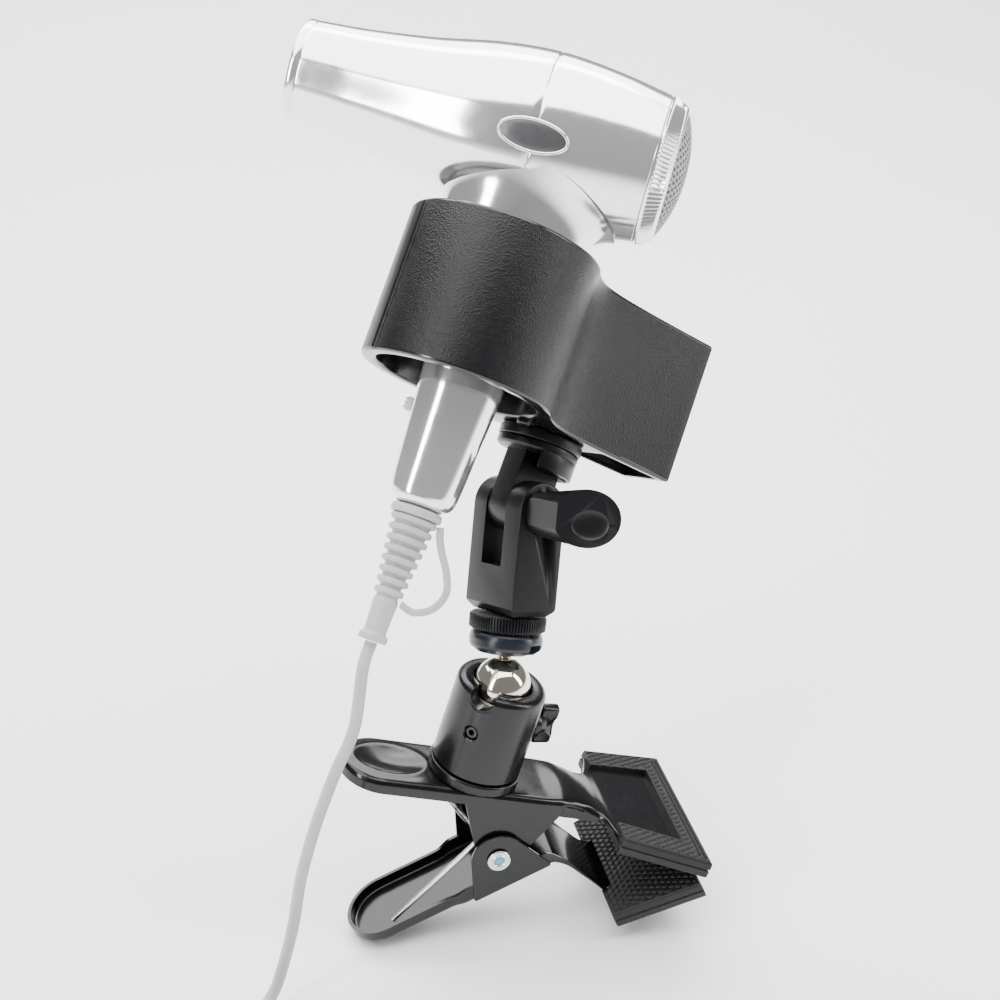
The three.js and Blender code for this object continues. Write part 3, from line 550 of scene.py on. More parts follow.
def handle_root():
    """Skirt that sweeps from the handle up into the barrel and meets both smoothly."""
    steps, sides, foot = 18, 128, -50.5
    rings = [[] for _ in range(steps + 1)]
    for i in range(sides):
        t = 2 * math.pi * i / sides
        c, s = math.cos(t), math.sin(t)
        low = Vector((30.9 * signed_power(c, 0.89), 18.5 * signed_power(s, 0.89), foot))

        def barrel(q):
            x, y = (41 * c) * q, (31.5 * s) * q
            r = barrel_radius(x) - 0.15
            return Vector((x, y, -math.sqrt(max(r * r - y * y, 0))))
        top = barrel(1)
        slope = (top - barrel(0.97)).normalized()
        reach = (top - low).length * 0.42
        a, b = low + Vector((c * 0.12, s * 0.12, 1)) * reach, top - slope * reach
        for k in range(steps + 1):
            u = k / steps
            v = 1 - u
            rings[k].append(low * v ** 3 + a * 3 * u * v ** 2 + b * 3 * u * u * v + top * u ** 3)
    bm = bmesh.new()
    skin(bm, rings, cap=False)
    return bm


def make_handle():
    steps = 96
    path = smooth_path(HANDLE, steps)
    body = loft([(p.x, p.y, p.z, 0) for p in path], 96, 2.25)
    slot_hole = moved(slab(box(-5.5, 5.5, -2.6, 2.6, 2.4, 6), -6, 6, 0.3),
                      H @ T(-17, 0, -125.5) @ R("Y", -86))
    body = joined(carve(moved(body, H), slot_hole), moved(handle_root(), H))
    piece("handle_shell", body, IDENTITY, "dryer", SHELL, "handle")
    # sliding button with three grip ridges
    at = H @ T(-16.4, 0, -125.5) @ R("Y", -86)
    knob = slab(box(-2.9, 2.9, -1.9, 1.9, 0.8, 3), -2, 3, 0.6)
    ridges = [slab(box(x - 0.45, x + 0.45, -1.7, 1.7, 0.3, 2), 2.6, 3.6, 0.25) for x in (-1.8, 0, 1.8)]
    piece("switch_button", joined(knob, *ridges), at, "switch", PALE, "power_switch")


def make_rear():
    start, end = REAR + 0.35, REAR + 8.6
    rows = [(start, 31.2, 0), (start + 0.2, 31.65, 0), (start + 0.9, 31.6, 0), (start + 1.2, 31.2, 0),
            (start + 1.5, 31.1, 0.3),
            (start + 1.9, 31.1, 0.45), (end - 1.6, 28.7, 0.45), (end - 0.9, 28.2, 0.3),
            (end - 0.4, 27.8, 0), (end, 27.2, 0),
            (end, 26.6, 0), (end - 0.6, 26.3, 0), (start, 26.3, 0)]
    piece("rear_ring", ribbed(rows, 100, 400), G, "cap", SHELL, "rear_cap", angle=50)

    def dome(q):
        return REAR + 14.2 - 5.9 * (q / 26) ** 2.2
    wires = bmesh.new()
    for k in range(-12, 13):
        c = k * 2.1
        half = math.sqrt(26.1 ** 2 - c * c)
        for turn in (0, 1):
            steps = 40
            path = []
            for i in range(steps + 1):
                s = half * (2 * i / steps - 1)
                weave = 0.28 * math.sin(math.pi * (s / 2.15 + k + turn))
                x, y = (c, s) if turn else (s, c)
                path.append(Vector((x, y, dome(math.hypot(x, y)) + weave)))
            tube(path, 0.42, 6, bm=wires)
    piece("rear_mesh", wires, G, "cap", MESH_GREY, "rear_grille")
    back = [(26.2, REAR + 5)] + [(26.2 * (1 - k / 10), dome(26.2 * (1 - k / 10)) - 1.1) for k in range(11)]
    piece("rear_filter", lathe(back + [(0, REAR + 5)], 72), G, "cap", MESH_GREY, slot="grey_plastic")


# ---------- relief, loop and cord ----------
def make_relief():
    top = -HANDLE_LEN - 0.3
    rough = [(0, top), (9.6, top), (10.8, top - 0.6), (11, top - 1.4), (11, top - 3), (10.4, top - 3.8)]
    for i in range(8):
        z, r = top - 4.6 - i * 4.4, 9.8 - i * 0.5
        rough += [(r - 1.9, z + 0.7), (r - 0.1, z + 0.2), (r, z - 0.6), (r, z - 1.5), (r - 0.3, z - 2.0),
                  (r - 1.9, z - 2.4)]
    rough += [(5.3, top - 40.5), (5.1, top - 44), (4.7, top - 53.6), (5.3, top - 54.2), (6.1, top - 54.9),
              (6.2, top - 56.8),
              (5.8, top - 57.5), (2.7, top - 57.6), (0, top - 57.6)]
    piece("strain_relief_sleeve", lathe(fillet(rough, 0.5, 2), 56), H, "dryer", SHEATH, "strain_relief")
    t = -HANDLE_LEN
    bend = [(11.4, 0, t - 5), (12.6, -0.3, t - 9), (15, -1, t - 14), (20, -2, t - 22), (22.6, -2, t - 30),
            (19.5, -1.5, t - 37.5),
            (12.6, -0.5, t - 41.4), (6.4, 0, t - 40)]
    piece("loop_strap", tube(smooth_path(bend, 72), 1.75, 14, flat=0.8), H, "dryer", SHEATH, "hang_loop")


# ---------- ball head ----------
HEAD_Z0, HEAD_Z1 = 37.9, 81.0


def make_ball_head():
    r, bore = 20.5, 13.5
    ring = [(3.4, 32.6), (r + 0.2, 32.6), (r + 0.7, 33.1), (r + 0.7, 36.6), (r + 0.2, 37.3), (3.4, 37.3)]
    piece("head_base_ring", lathe(fillet(ring, 0.4, 3, True), 96, loop=True), BASE, "clamp", ANODISED,
          "base_ring")
    prof = [(0, HEAD_Z0), (r - 0.9, HEAD_Z0), (r, HEAD_Z0 + 0.9), (r, HEAD_Z1 - 3.4)] + \
        [(r - 3.2 * (1 - math.cos(rad(a))), HEAD_Z1 - 3.4 + 3.4 * math.sin(rad(a)))
         for a in range(12, 85, 12)] + \
        [(bore + 1.6, HEAD_Z1), (bore + 0.5, HEAD_Z1 - 0.3), (bore, HEAD_Z1 - 1.1), (bore, 62), (0, 62)]
    body = lathe(prof, 128)
    notch_at = R("Z", -130) @ T(0, 0, BALL_Z + 0.6) @ R("Y", 90)

    def notch(half, depth):
        """U-shaped cutter. The local Z of its frame runs outwards, and its -X is up."""
        outline = [(-14, -half), (0, -half), *arc(0, 0, half, -75, 75, 14), (0, half), (-14, half)]
        return moved(slab(fillet(outline, 0.2, 1, True), depth, 30, 0.2), notch_at)
    grub_at = R("Z", -130) @ T(0, 0, HEAD_Z0 + 23) @ R("Y", 90)
    hole = lathe([(0, 12), (3.2, 12), (3.2, 19.6), (3.9, 20.4), (5, 22), (0, 22)], 40)
    stem = moved(rod(3.4, 12, 30), BASE.inverted() @ LOCK_KNOB)
    body = carve(body, notch(5.8, 5), notch(6.7, r - 0.8), moved(hole, grub_at), stem)
    piece("head_housing", body, BASE, "clamp", ANODISED, "ball_housing", angle=28)
    screw = lathe([(0, 13.9), (2.9, 13.9), (2.9, 18.6), (2.5, 19.2), (1.9, 19.3), (0, 19.3)], 36)
    piece("head_grub", carve(screw, rod(1.55, 16.6, 22, 6)), BASE @ grub_at, "clamp", BLACKENED,
          "grub_screw", angle=25)
    crest, root, pitch = 3.0, 2.55, 1.27
    prof = [(0, 2.3)]
    for k in range(12):
        z = 9 + pitch * k
        prof += [(crest, z), (crest, z + 0.35), (root, z + 0.75), (root, z + 0.9)]
    piece("head_stud", lathe(prof + [(2.4, 23.6), (0, 23.6)], 40), K, "ball", BRASS, "ball_stud", angle=50)
    rb = 13.0
    prof = [(0, -rb)] + [(rb * math.sin(rad(a)), -rb * math.cos(rad(a))) for a in range(4, 158, 3)]
    prof += [(4.7, 12.1), (3.2, 12.15), (3.2, 2.4), (0, 2.4)]
    piece("head_ball", lathe(prof, 96), K, "ball", BALL_CHROME, "ball", angle=60)


def make_lock_knob():
    boss = [(0, 14.2), (3, 14.2), (3, 20.9), (6.8, 20.9), (6.6, 24), (5.6, 27), (0, 27)]
    stem = lathe(fillet(boss, 0.5, 3), 48)
    wing = slab(fillet([(-10.5, 0), (-9, -3), (9, -3), (10.5, 0), (9, 3), (-9, 3)], 2.2, 5, True), 24.5,
                33.6, 1.2, 4)
    dents = [moved(lathe([(0, -6), (6, -4.6), (8, 0), (6, 4.6), (0, 6)], 32), T(0, s * 8.6, 33))
             for s in (-1, 1)]
    piece("head_lock_knob", joined(stem, carve(wing, *dents)), LOCK_KNOB, "lock_knob", ANODISED,
          "lock_knob")


# ---------- foot, wheel, fork and knob ----------
def make_shoe():
    rim = [(0, 14.9), (11.6, 14.9), (12.8, 15.1), (15.7, 17.2), (16.3, 18.4), (16.4, 21.4), (16, 23.2),
           (15.2, 24.3), (0, 24.4)]
    body = lathe(fillet(rim, 0.6, 3), 96)
    lock = moved(slab(box(10.8, 20, -4.2, 4.2, 1, 3), 13.5, 20.2, 0.3), R("Z", 20))
    piece("foot_plate", carve(body, lock, rod(PIN_BORE, 13, 24.1)), K, "shoe", BLUED, "shoe_foot", angle=30)
    rows = [(25, 15, 0), (25.2, 16, 0.1), (25.9, 16.6, 0.5), (31.2, 16.7, 0.5), (31.9, 16.2, 0.3),
            (32.5, 15.2, 0), (32.6, 8, 0),
            (25, 8, 0)]
    piece("foot_wheel", ribbed(rows, 80, 480, 0.6), K, "wheel", SATIN, "shoe_wheel", angle=45)


def make_fork():
    x0, x1, half, slot, z = -17, 18.5, 12, 7.3, KNUCKLE_Z
    side = [(-half + 3, 33), (half - 3, 33), (half, 36.5), *arc(0, z, half, 0, 180, 32), (-half, 36.5)]
    side = fillet(side[:3], 0.4, 2) + side[3:]
    body = slab(side, x0, x1, 0.7, 4)
    moved(body, R("Y", 90) @ R("Z", 90))
    gap = block(-slot, slot, -half - 1, half + 1, 54, z + half + 1)
    corner = block(-50, 0, -50, 50, -50, 0, T(x0 + 3, 0, 33) @ R("Y", 45))
    corner2 = block(0, 50, -50, 50, -50, 0, T(x1 - 3, 0, 33) @ R("Y", -45))
    across = T(0, 0, z) @ R("Y", 90)
    hole, nut = moved(rod(PIN_BORE, -30, 30), across), moved(rod(6, x0 - 1, x0 + 4.2, 6), across)
    body = carve(body, gap, corner, corner2, hole, nut)
    neck = lathe(fillet([(0, 25.2), (7.7, 25.2), (7.7, 34), (0, 34)], 0.4, 2), 48)
    piece("knuckle_fork", joined(body, neck), K, "shoe", SATIN, "fork", angle=24)
    x = 7.0
    eye = lathe(fillet([(0, -x), (11.5, -x), (11.5, x), (0, x)], 0.5, 3), 72)
    stalk = slab([(-11.5, 0), (11.5, 0), (11, 24.6), (-11, 24.6)], -x, x, 0.5, 3)
    rim = [(0, 22.5), (x + 1, 22.5), (17.5, 24.2), (18.5, 25.2), (18.5, 28), (0, 28)]
    flange = lathe(fillet(rim, 0.5, 3), 96)
    skirt = slab(fillet([*arc(0, 0, 18.3, -30, 95, 30), *arc(0, 0, 16, 95, -30, 30)], 0.3, 2, True), 17, 25,
                 0.6, 3)
    bore = moved(rod(PIN_BORE, -20, 20), R("Y", 90))
    turn = R("Y", 90) @ R("Z", 90)
    eye = carve(joined(moved(eye, R("Y", 90))), bore)
    stalk = carve(moved(stalk, turn), moved(rod(11.2, -20, 20, 48), R("Y", 90)))
    piece("knuckle_tongue", joined(eye, stalk, flange, skirt), TILT, "head", SATIN, "tongue", angle=30)
    disc = [(0, 28.3), (18.4, 28.3), (19, 28.7), (19, 32.3), (18.5, 33.1), (17.6, 33.3), (0, 33.3)]
    piece("swivel_plate", lathe(fillet(disc, 0.4, 2), 96), TILT, "holder", SATIN, "swivel_disc")


def make_wing_knob():
    """Round bar with a flat upper facet, its end cut slantwise into a dished thumb face."""
    at = KNUCKLE @ R("Y", 90)
    stations = [(18.8, 8.6), (19.2, 9.6), (20.5, 10.8), (25, 11.4), (35, 11.8), (48, 12.3), (55, 12.3),
                (57, 11.9), (58, 10.6)]
    body = loft([(p.x, p.y, p.y, 0) for p in smooth_path([(z, r, 0) for z, r in stations], 60)], 96)
    face = block(-40, 40, -60, 60, 0, 60, T(0, 0, 48.5) @ R("X", 33))
    upper = block(-60, 0, -40, 40, -20, 60, T(-7.4, 0, 20) @ R("Y", -10))
    side = block(-40, 40, -60, 0, -20, 60, T(0, -9.6, 22) @ R("X", 3))
    dish = [(0, -1.8)] + [(8.2 * math.sin(rad(a)), -1.8 * math.cos(rad(a)))
                          for a in range(6, 180, 6)] + [(0, 1.8)]
    dent = moved(lathe(dish, 48), T(2.5, 1.5, 49.6) @ R("X", 33) @ Matrix.Diagonal((0.8, 1, 1, 1)))
    piece("wing_knob_paddle", carve(body, face, upper, side, dent), at, "knob", SATIN, "wing_knob",
          bevel=0.5, angle=24)


# ---------- holder ----------
RING_R, BORE_R, HOLDER_H = 41.7, 35.1, 66.2


def holder_outline():
    """The ring's outside, then the tail's lower side out to its end and its upper side back."""
    lower = [(33.6, -24.7), (37, -20.8), (43.5, -14.9), (51, -10.8), (62, -8.2), (80, -6.6), (100, -6),
             (117, -6)]
    upper = [(117, 26), (100, 26.4), (80, 28), (62, 31), (48, 34.2), (34, 37.2), (24, 38.8), (14.3, 39.2)]
    tail = [(p.x, p.y) for side in (lower, upper) for p in smooth_path([(x, y, 0) for x, y in side], 36)]
    return arc(0, 0, RING_R, 70, 323.6, 110)[1:-1] + tail


def make_holder():
    body = slab(holder_outline(), 0, HOLDER_H, 1.3, 4)
    bore = [(0, -2), (BORE_R + 1.6, -2), (BORE_R + 1.6, 0), (BORE_R + 0.9, 0.15), (BORE_R + 0.3, 0.6),
            (BORE_R, 1.4),
            (BORE_R, HOLDER_H - 1.4), (BORE_R + 0.3, HOLDER_H - 0.6), (BORE_R + 0.9, HOLDER_H - 0.15),
            (BORE_R + 1.6, HOLDER_H), (BORE_R + 1.6, HOLDER_H + 2), (0, HOLDER_H + 2)]
    pocket = slab(fillet([(80, -3), (113.5, -2.5), (113.5, 22.5), (80, 24.5)], 2, 4, True), -3,
                  HOLDER_H - 4, 0.8)
    screw = rod(PIN_BORE, -1, 18)
    slits = [block(RING_R - 0.9, RING_R + 3, -w, w, -2, HOLDER_H + 2, R("Z", a)) for a,
             w in ((178.2, 0.4), (181.6, 0.3))]
    body = carve(body, lathe(bore, 128), pocket, moved(screw, T(58.9, 15.4, 0)), *slits)
    o = piece("holder_moulding", body, M, "holder", GRAIN, "holder", angle=30)
    o.data.materials.append(GLOSS)
    axis, centre = (place(M).to_3x3()
                    @ Vector((0, 0, 1))).normalized(), place(M) @ Vector((0, 0, HOLDER_H / 2))
    for p in o.data.polygons:
        off = p.center - centre
        along = off.dot(axis)
        away = (off - axis * along).length
        inner = away < (BORE_R + 0.6) * MM
        rim = abs(along) > (HOLDER_H / 2 - 1.25) * MM
        if inner or rim:
            p.material_index = 1
    band = slab(arc(0, 0, RING_R + 0.2, 118, 176.6, 40) + arc(0, 0, RING_R - 0.2, 176.6, 118, 40), 1.2,
                HOLDER_H - 1.2, 0.18, 2)
    piece("holder_band", band, M, "holder", SATIN, slot="dark_plastic")
    foot = slab(inset(fillet([(84, -6.2), (117.2, -6), (117.2, 26.2), (84, 27.4)], 0.8, 2, True), -0.15),
                0.9, 1.9, 0.35, 2)
    cut = slab([(80, -3), (113.5, -2.5), (113.5, 22.5), (80, 24.5)], -3, 5, 0.1)
    piece("holder_tail_trim", carve(foot, cut), M, "holder", GLOSS, slot="dark_plastic")
    head = lathe(fillet([(0, -2.2), (2.6, -2.2), (3, -1.4), (3, 0.2), (0, 0.2)], 0.4, 3), 32)
    cross = [block(-2, 2, -0.4, 0.4, -3, -1.4, R("Z", a)) for a in (20, 110)]
    piece("holder_screw", carve(head, *cross), M @ T(38.4, 1.5, 0), "holder", BLACKENED, slot="zinc_steel")


# ---------- clamp ----------
def pressed(tip, end, wide, level, skirt, crown, edge, dent=None, sheet=1.7, up=1):
    """Sheet-metal arm along X: a round tip, rolled edges, and skirts that hang, or stand up where up is -1.
    wide, level, skirt, crown and edge are tables against X."""
    r = wide[0][1]
    stations = [tip + r * (1 - math.cos(math.pi / 2 * k / 22)) for k in range(23)]
    n = int((end - stations[-1]) / 0.9)
    stations += [stations[-1] + (end - stations[-1]) * k / n for k in range(1, n + 1)]
    bm = bmesh.new()
    rows = []
    for k, x in enumerate(stations):
        w = r * math.sin(math.pi / 2 * k / 22) if k <= 22 else curve(wide, x)
        e, d, c = curve(edge, x), curve(skirt, x), curve(crown, x)
        half = []
        for j in range(17):
            y = w * math.sin(math.pi / 2 * j / 16)
            gap = r - math.hypot(x - tip - r, y) if x < tip + r else w - y
            gap = min(max(gap, 0), e)
            z = -e + math.sqrt(max(e * e - (e - gap) ** 2, 0)) + c * (1 - (y / max(w, 1e-6)) ** 2)
            if dent:
                q = ((x - dent[0]) / dent[1]) ** 2 + (y / dent[2]) ** 2
                z -= dent[3] * max(0, 1 - q) ** 1.2 if q < 1 else 0
                z += 0.45 * math.exp(-((math.sqrt(q) - 1.12) / 0.1) ** 2)
            half.append((y, z))
        half += [(w, -e - max(d - e, 0) * t) for t in (0.33, 0.66, 1)]
        z0 = curve(level, x)
        across = [(-y, z) for y, z in reversed(half[1:])] + half
        rows.append([bm.verts.new((x, y, z0 + up * z)) for y, z in across])
    for a, b in zip(rows, rows[1:]):
        for i in range(len(a) - 1):
            quad = (a[i], b[i], b[i + 1], a[i + 1])
            bm.faces.new(quad if up > 0 else quad[::-1])
    bmesh.ops.remove_doubles(bm, verts=bm.verts, dist=1e-3)
    bm.normal_update()
    mesh = bpy.data.meshes.new("sheet")
    bm.to_mesh(mesh)
    o = bpy.data.objects.new("sheet", mesh)
    bpy.context.scene.collection.objects.link(o)
    m = o.modifiers.new("thick", "SOLIDIFY")
    m.thickness, m.offset = sheet, -1
    out = bmesh.new()
    out.from_mesh(o.evaluated_get(bpy.context.evaluated_depsgraph_get()).to_mesh())
    bpy.data.objects.remove(o)
    bpy.data.meshes.remove(mesh)
    return out


def side_slab(outline, y0, y1, edge=0.4):
    """Plate with the closed XZ outline between two Y planes, its rims rounded."""
    return moved(slab(outline, -y1, -y0, edge, 3), R("X", 90))


def ears_of(outline, corner, y0, y1):
    """The same upright plate on both sides of an arm, pierced for the rivet."""
    return [carve(side_slab(fillet(outline, corner, 3, True), a, b),
                  moved(rod(RIVET_BORE, -30, 30), R("X", 90)))
            for a, b in ((y0, y1), (-y1, -y0))]


def make_upper_arm():
    wide = [(-79.6, 18), (12, 18), (22, 17.4), (30, 15.6), (36, 15), (41, 16.4), (44.5, 20), (46.6, 26),
            (48, 30.6), (92.1, 38.8)]
    level = [(-79.6, 32.3), (14, 32.3), (22, 32.2), (30, 31), (38, 28.9), (46, 27.3), (54, 26.75),
             (92.1, 23.9)]
    skirt = [(-79.6, 6.5), (16, 6.5), (26, 8), (36, 7), (44, 3), (48, 0.4), (92.1, 0.4)]
    crown = [(-79.6, 0.3), (14, 0.3), (26, 1.6), (36, 2.2), (44, 1.2), (50, 0), (92.1, 0)]
    edge = [(-79.6, 3), (20, 3), (34, 3.6), (44, 2), (48, 0.4), (92.1, 0.4)]
    body = pressed(-79.6, 92.1, wide, level, skirt, crown, edge, dent=(-57.5, 15.5, 10.5, 2.0))
    ear = [*arc(0, 0, 9.5, 200, 340, 24), (24, 27.5), (23, 30.5), (-23, 30.5), (-24, 27.5)]
    piece("arm_upper", joined(body, *ears_of(ear, 1.5, 16.4, 17.9)), U, "clamp", ENAMEL, "upper_arm",
          angle=38)


def make_lower_arm():
    wide = [(-78, 18), (-30, 18), (-22, 19.6), (18, 19.6), (23, 17.6), (28, 16), (33, 16.4), (37, 20),
            (39.5, 27), (41, 31.2),
            (78.3, 38.8)]
    level = [(-78, -17.2), (14, -17.2), (20, -18.4), (25, -24.5), (31, -38), (36, -48.4), (41, -53.2),
             (46, -54), (78.3, -54)]
    skirt = [(-78, 6.5), (-28, 6.5), (-20, 8), (18, 8), (26, 6), (34, 3), (40, 0.4), (78.3, 0.4)]
    crown = [(-78, 0.2), (14, 0.2), (26, 0.2), (36, 0.2), (44, 0), (78.3, 0)]
    edge = [(-78, 2.6), (20, 2.6), (34, 2), (40, 0.4), (78.3, 0.4)]
    body = pressed(-78, 78.3, wide, level, skirt, crown, edge, up=-1)
    cheek = [(-19.5, -17), (20.5, -17), *arc(0, 0, 12.5, 22, 165, 40)]
    piece("arm_lower", joined(body, *ears_of(cheek, 1.4, 18.9, 20.6)), L, "lower_jaw", ENAMEL, "lower_arm",
          angle=38)


def make_rivet():
    e, head, bore = 22.6, 5.4, 2.4
    half = [(0, e - 1.5), (bore, e - 1.5), (bore, e - 0.4), (bore + 0.4, e), (3.4, e + 0.1),
            (3.6, e - 0.25), (3.8, e - 0.1),
            (head - 0.4, e - 0.2), (head, e - 0.6), (head, e - 1.3), (2.6, e - 1.6)]
    prof = half + [(r, -z) for r, z in reversed(half)]
    at = PIVOT @ R("X", 90)
    piece("pivot_rivet_tube", lathe(fillet(prof, 0.2, 2), 64), at, "clamp", ZINC, "pivot_rivet")
    for side in (-1, 1):
        core = lathe([(0, e - 1.4), (1.2, e - 1.2), (2.3, e - 1.0), (2.3, e - 1.45), (0, e - 1.45)], 32)
        name = "pivot_rivet_core_" + ("left" if side < 0 else "right")
        piece(name, moved(core, R("X", 0 if side > 0 else 180)), at, "clamp", CHROMATE, slot="zinc_steel")


def make_spring():
    upper = (L.inverted() @ U) @ Vector((-44, 0, 29.1))
    coil, side, turns, n = 6.6, 8.6, 4.77, 150
    first = Vector((upper.x, side, upper.z))
    pts = [first + (Vector((-6.5, side, -1.6)) - first) * k / 12 for k in range(12)]
    for i in range(n + 1):
        a = rad(194 + 360 * turns * i / n)
        pts.append(Vector((coil * math.cos(a), side - 2 * side * i / n, coil * math.sin(a))))
    end = Vector((-58, -10, -14.1))
    pts += [pts[-1] + (end - pts[-1]) * k / 14 for k in range(1, 15)]
    piece("clamp_spring", tube(pts, 1.2, 14), L, "clamp", SPRING, "torsion_spring", angle=60)


def lattice(x, y, pitch, groove):
    """Height share of raised diamonds between crossing grooves of that width."""
    c, s = math.cos(rad(58)), math.sin(rad(58))
    gap = min(abs((q / pitch) % 1 - 0.5) for q in (x * c + y * s, x * c - y * s)) * pitch
    return min(1, gap / (groove / 2)) ** 2 if gap < groove / 2 else 1


def make_pad(name, at, body, node, notch):
    """Rubber cover of a jaw plate. Its bite faces -Z; a window leaves the plate's middle bare."""
    nx, ny = 118, 216
    x0, x1, neck, mouth = 2, 45, 34.6, 42

    def spot(i, j):
        x = x0 + (x1 - x0) * i / nx
        half = neck + (mouth - neck) * x / JAW["length"]
        v = 2 * j / ny - 1
        return x, v * half, half

    def edge_gap(x, y, half):
        return min(x1 - x, half - abs(y))

    def top(x, y, half):
        gap = edge_gap(x, y, half)
        window = min(JAW["length"] - 13.6 - x, half - 12.6 - abs(y))
        if window >= 0:
            return -2.4
        if gap < 1.4:
            return 2 - 0.7 * (1 - gap / 1.4) ** 2
        if (2.3 < x1 - x < 3.1 or 4.6 < x1 - x < 5.4) and half - abs(y) > 4:
            return 1.25
        if (x1 - x > 6.2 or half - abs(y) < 3.6) and window < -1.3:
            return 2 - 0.6 * (1 - lattice(x, y, 2.7, 1.0))
        return 2

    def bottom(x, y, half):
        gap = edge_gap(x, y, half)
        return -7 + (0.6 * (1 - gap / 1.2) ** 2 if gap < 1.2 else 0.6 * (1 - lattice(x, y, 2.9, 1.1)))

    bm = bmesh.new()

    def sheet(height):
        g = [[bm.verts.new((x, y, height(x, y, h))) for x, y, h in (spot(i, j) for j in range(ny + 1))]
             for i in range(nx + 1)]
        for i in range(nx):
            for j in range(ny):
                bm.faces.new((g[i][j], g[i + 1][j], g[i + 1][j + 1], g[i][j + 1]))
        return g
    t, b = sheet(top), sheet(bottom)
    loop = [*((i, 0) for i in range(nx)), *((nx, j) for j in range(ny)),
            *((i, ny) for i in range(nx, 0, -1)), *((0, j) for j in range(ny, 0, -1))]
    rows = [[t[i][j] for i, j in loop]]
    for z, d in ((0.4, 0.15), (-1.9, 0.25), (-2.2, -0.35), (-2.9, -0.35), (-3.2, 0.25), (-6.0, 0.1)):
        row = []
        for i, j in loop:
            x, y, half = spot(i, j)
            low = min(z, t[i][j].co.z - 0.1 * len(rows))
            side_x, side_y = (i == nx) - (i == 0), (j == ny) - (j == 0)
            row.append(bm.verts.new((x + d * side_x, y + d * side_y, low)))
        rows.append(row)
    rows.append([b[i][j] for i, j in loop])
    for r0, r1 in zip(rows, rows[1:]):
        for k in range(len(loop)):
            m = (k + 1) % len(loop)
            bm.faces.new((r0[k], r0[m], r1[m], r1[k]))
    done = carve(bm, block(-1, 7, -17, 17, -notch, 4))
    piece(name, done, at, body, RUBBER, node, angle=40)


JAW_AT = U @ T(JAW["start"], 0, JAW["z"]) @ R("Y", JAW["drop"])
LOW_JAW_AT = L @ T(LOWJAW["start"], 0, LOWJAW["z"] - JAW["pad"]) @ R("X", 180)


# ---------- cord ----------
CORD_R = 2.6
COIL = Vector((-122, -98, 0))
COIL_R, LAYER = 38.8, 5.35


def cord_route():
    """The run from the relief to the table, then the stored coil and the lead to the plug, in millimetres."""
    start = H @ Vector((0, 0, -HANDLE_LEN - 1.5 - 58.2))
    out = (H.to_3x3() @ Vector((0, 0, -1))).normalized()
    f = FLOOR + CORD_R
    run = [start + out * -1.5, start + out * 9 - Vector((0, 0, 1)), (-64.5, -35, FLOOR + 137),
           (-73.7, -38, FLOOR + 118),
           (-83.6, -40, FLOOR + 93), (-91, -41, FLOOR + 68), (-95.5, -42, FLOOR + 45),
           (-101, -43, FLOOR + 25),
           (-106, -44, FLOOR + 11), (-113, -48.5, f + 2), (-123, -55.6, f)]
    coil = []

    def turn(angle, radius, lift):
        a = rad(angle)
        coil.append((COIL.x + radius * math.cos(a), COIL.y + radius * math.sin(a), f + lift))
    angle, inner = 110.0, COIL_R - 1.5 * (2 * CORD_R + 0.02)
    for layer, rise in enumerate((110, 110, 130, 0)):
        r0, r1 = (COIL_R, inner) if layer % 2 == 0 else (inner, COIL_R)
        for k in range(37):
            turn(angle + 15 * k, r0 + (r1 - r0) * k / 36, layer * LAYER)
        angle += 540
        for k in range(1, rise // 15):
            turn(angle + 15 * k, r1, (layer + (1 - math.cos(math.pi * 15 * k / rise)) / 2) * LAYER)
        angle += rise
    return run, coil, f


PLUG_AT = T(-172.4, -87, FLOOR + 8.2) @ R("Z", 255) @ R("Y", 90)


def make_plug():
    sections = [(0, 4.4, 4.4), (1, 5, 5), (9, 5.2, 5.4), (11, 7.4, 8.6), (14, 8.1, 12), (18, 8.1, 14.2),
                (30, 8.1, 15),
                (32, 7.7, 14.6), (33, 7, 13.6)]
    plug = piece("plug_shell", loft([(z, a, b, 0) for z, a, b in sections], 64, 2.6), PLUG_AT, "clamp",
                 PALE, "plug_body",
                 bevel=0.4, angle=40)
    pins = []
    for i, y in enumerate((-9.5, 9.5)):
        pin = lathe(fillet([(0, 33.3), (2.35, 33.3), (2.35, 50.6), (1.5, 52), (0, 52)], 0.4, 3), 32)
        name = "plug_prong_" + str(i + 1)
        pins.append(piece(name, moved(pin, T(0, y, 0)), PLUG_AT, "clamp", ZINC, "plug_pin_" + str(i + 1)))
    return [plug, *pins]


def lay_cord(name, points, body, nodes, with_pieces=()):
    o = piece(name, tube(points, CORD_R, 20), IDENTITY, body, SHEATH, *nodes, angle=70)


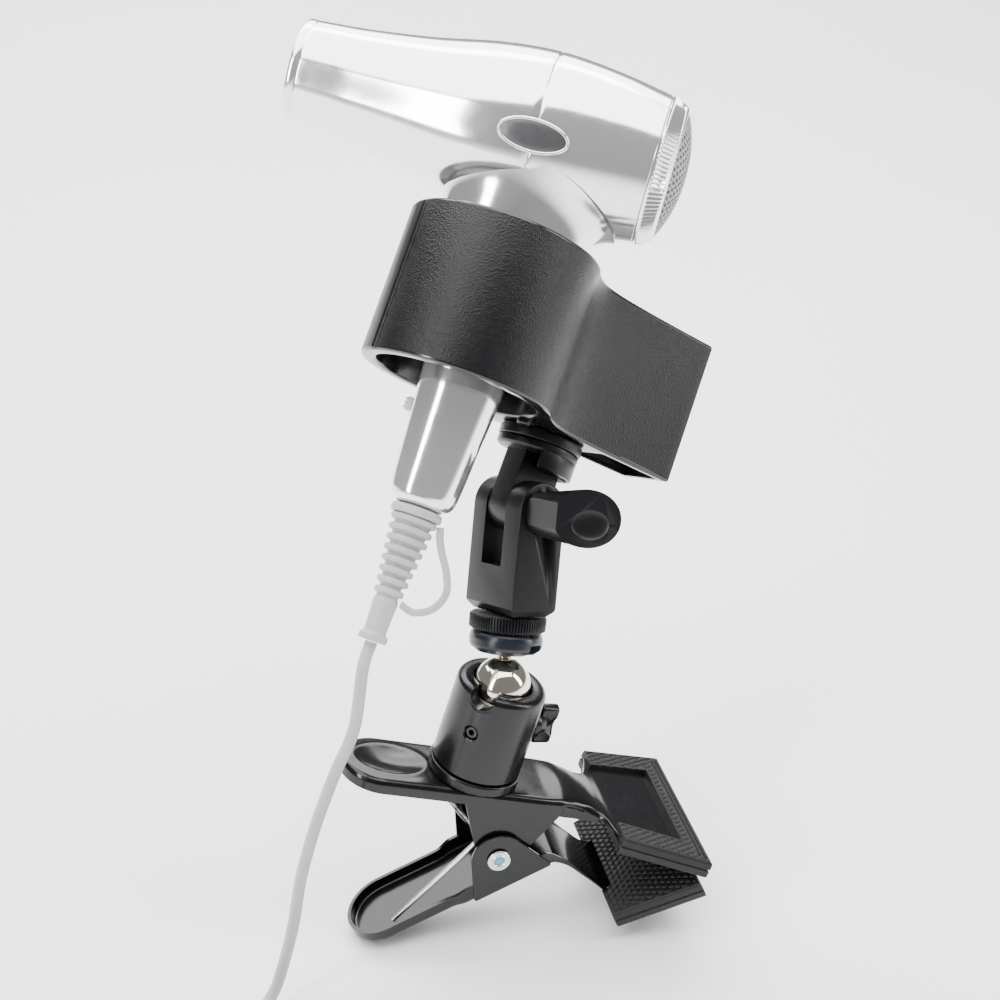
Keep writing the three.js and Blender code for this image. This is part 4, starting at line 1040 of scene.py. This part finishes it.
def make_cords():
    run, coil, f = cord_route()
    lead = [(-143, -62.4, f + 15.7), (-150, -64.8, f + 13.9), (-157, -68.6, f + 10.4),
            (-164.8, -75.2, f + 7),
            (-169.8, -81.6, f + 5.7), (-172.5, -87.6, f + 5.6)]
    joint = smooth_path([run[-2], run[-1], coil[0], coil[1]], 30)[10:20]
    lay_cord("cord_down", smooth_path(run, 140) + joint[1:], "dryer", ["cord_run"])
    stored = [Vector(p) for p in coil] + smooth_path([coil[-2], coil[-1], *lead], 70)[11:]
    lay_cord("cord_stored", stored, "clamp", ["cord_coil", "cord_tail"], make_plug())


# ---------- setting ----------
def make_floor():
    bm = bmesh.new()
    bmesh.ops.create_grid(bm, x_segments=1, y_segments=1, size=6)
    mesh = bpy.data.meshes.new("floor")
    bm.to_mesh(mesh)
    floor = bpy.data.objects.new("floor", mesh)
    bpy.context.scene.collection.objects.link(floor)
    floor.location.z = (FLOOR - GRIP.z) * MM - 0.0002
    look = material("floor_white", (0.9, 0.9, 0.9), 0.75, vary=0.01, spec=0.2, scale=3)
    mesh.materials.append(look)


def area_light(name, at, aim, size, watts):
    data = bpy.data.lights.new(name, "AREA")
    data.shape, data.size, data.size_y = "RECTANGLE", size[0], size[1]
    data.energy = watts
    o = bpy.data.objects.new(name, data)
    bpy.context.scene.collection.objects.link(o)
    o.location = at
    o.rotation_euler = (Vector(aim) - Vector(at)).to_track_quat("-Z", "Y").to_euler()


def make_lights():
    world = bpy.data.worlds.new("studio")
    bpy.context.scene.world = world
    world.use_nodes = True
    back = world.node_tree.nodes["Background"]
    back.inputs["Color"].default_value = (1, 1, 1, 1)
    back.inputs["Strength"].default_value = 0.26
    aim = (-0.07, 0.02, 0.16)
    area_light("top_box", (-0.1, 0.3, 1.7), (-0.1, 0.3, 0), (2.2, 2.2), 95)
    area_light("back_box", (0, 3.0, 2.4), (0, 2.6, 0), (5, 3), 330)
    area_light("left_box", (-1.2, -0.7, 0.8), aim, (0.25, 1.2), 18)
    area_light("right_box", (1.1, -0.4, 0.7), aim, (0.3, 1.1), 12)


make_cords()
dress_cad_nodes()
make_barrel()
make_badge()
make_handle()
make_rear()
make_relief()
make_ball_head()
make_lock_knob()
make_shoe()
make_fork()
make_wing_knob()
make_holder()
make_upper_arm()
make_lower_arm()
make_rivet()
make_spring()
make_pad("pad_upper", JAW_AT, "clamp", "upper_pad", 3.5)
make_pad("pad_lower", LOW_JAW_AT, "lower_jaw", "lower_pad", 8)
make_floor()
make_lights()
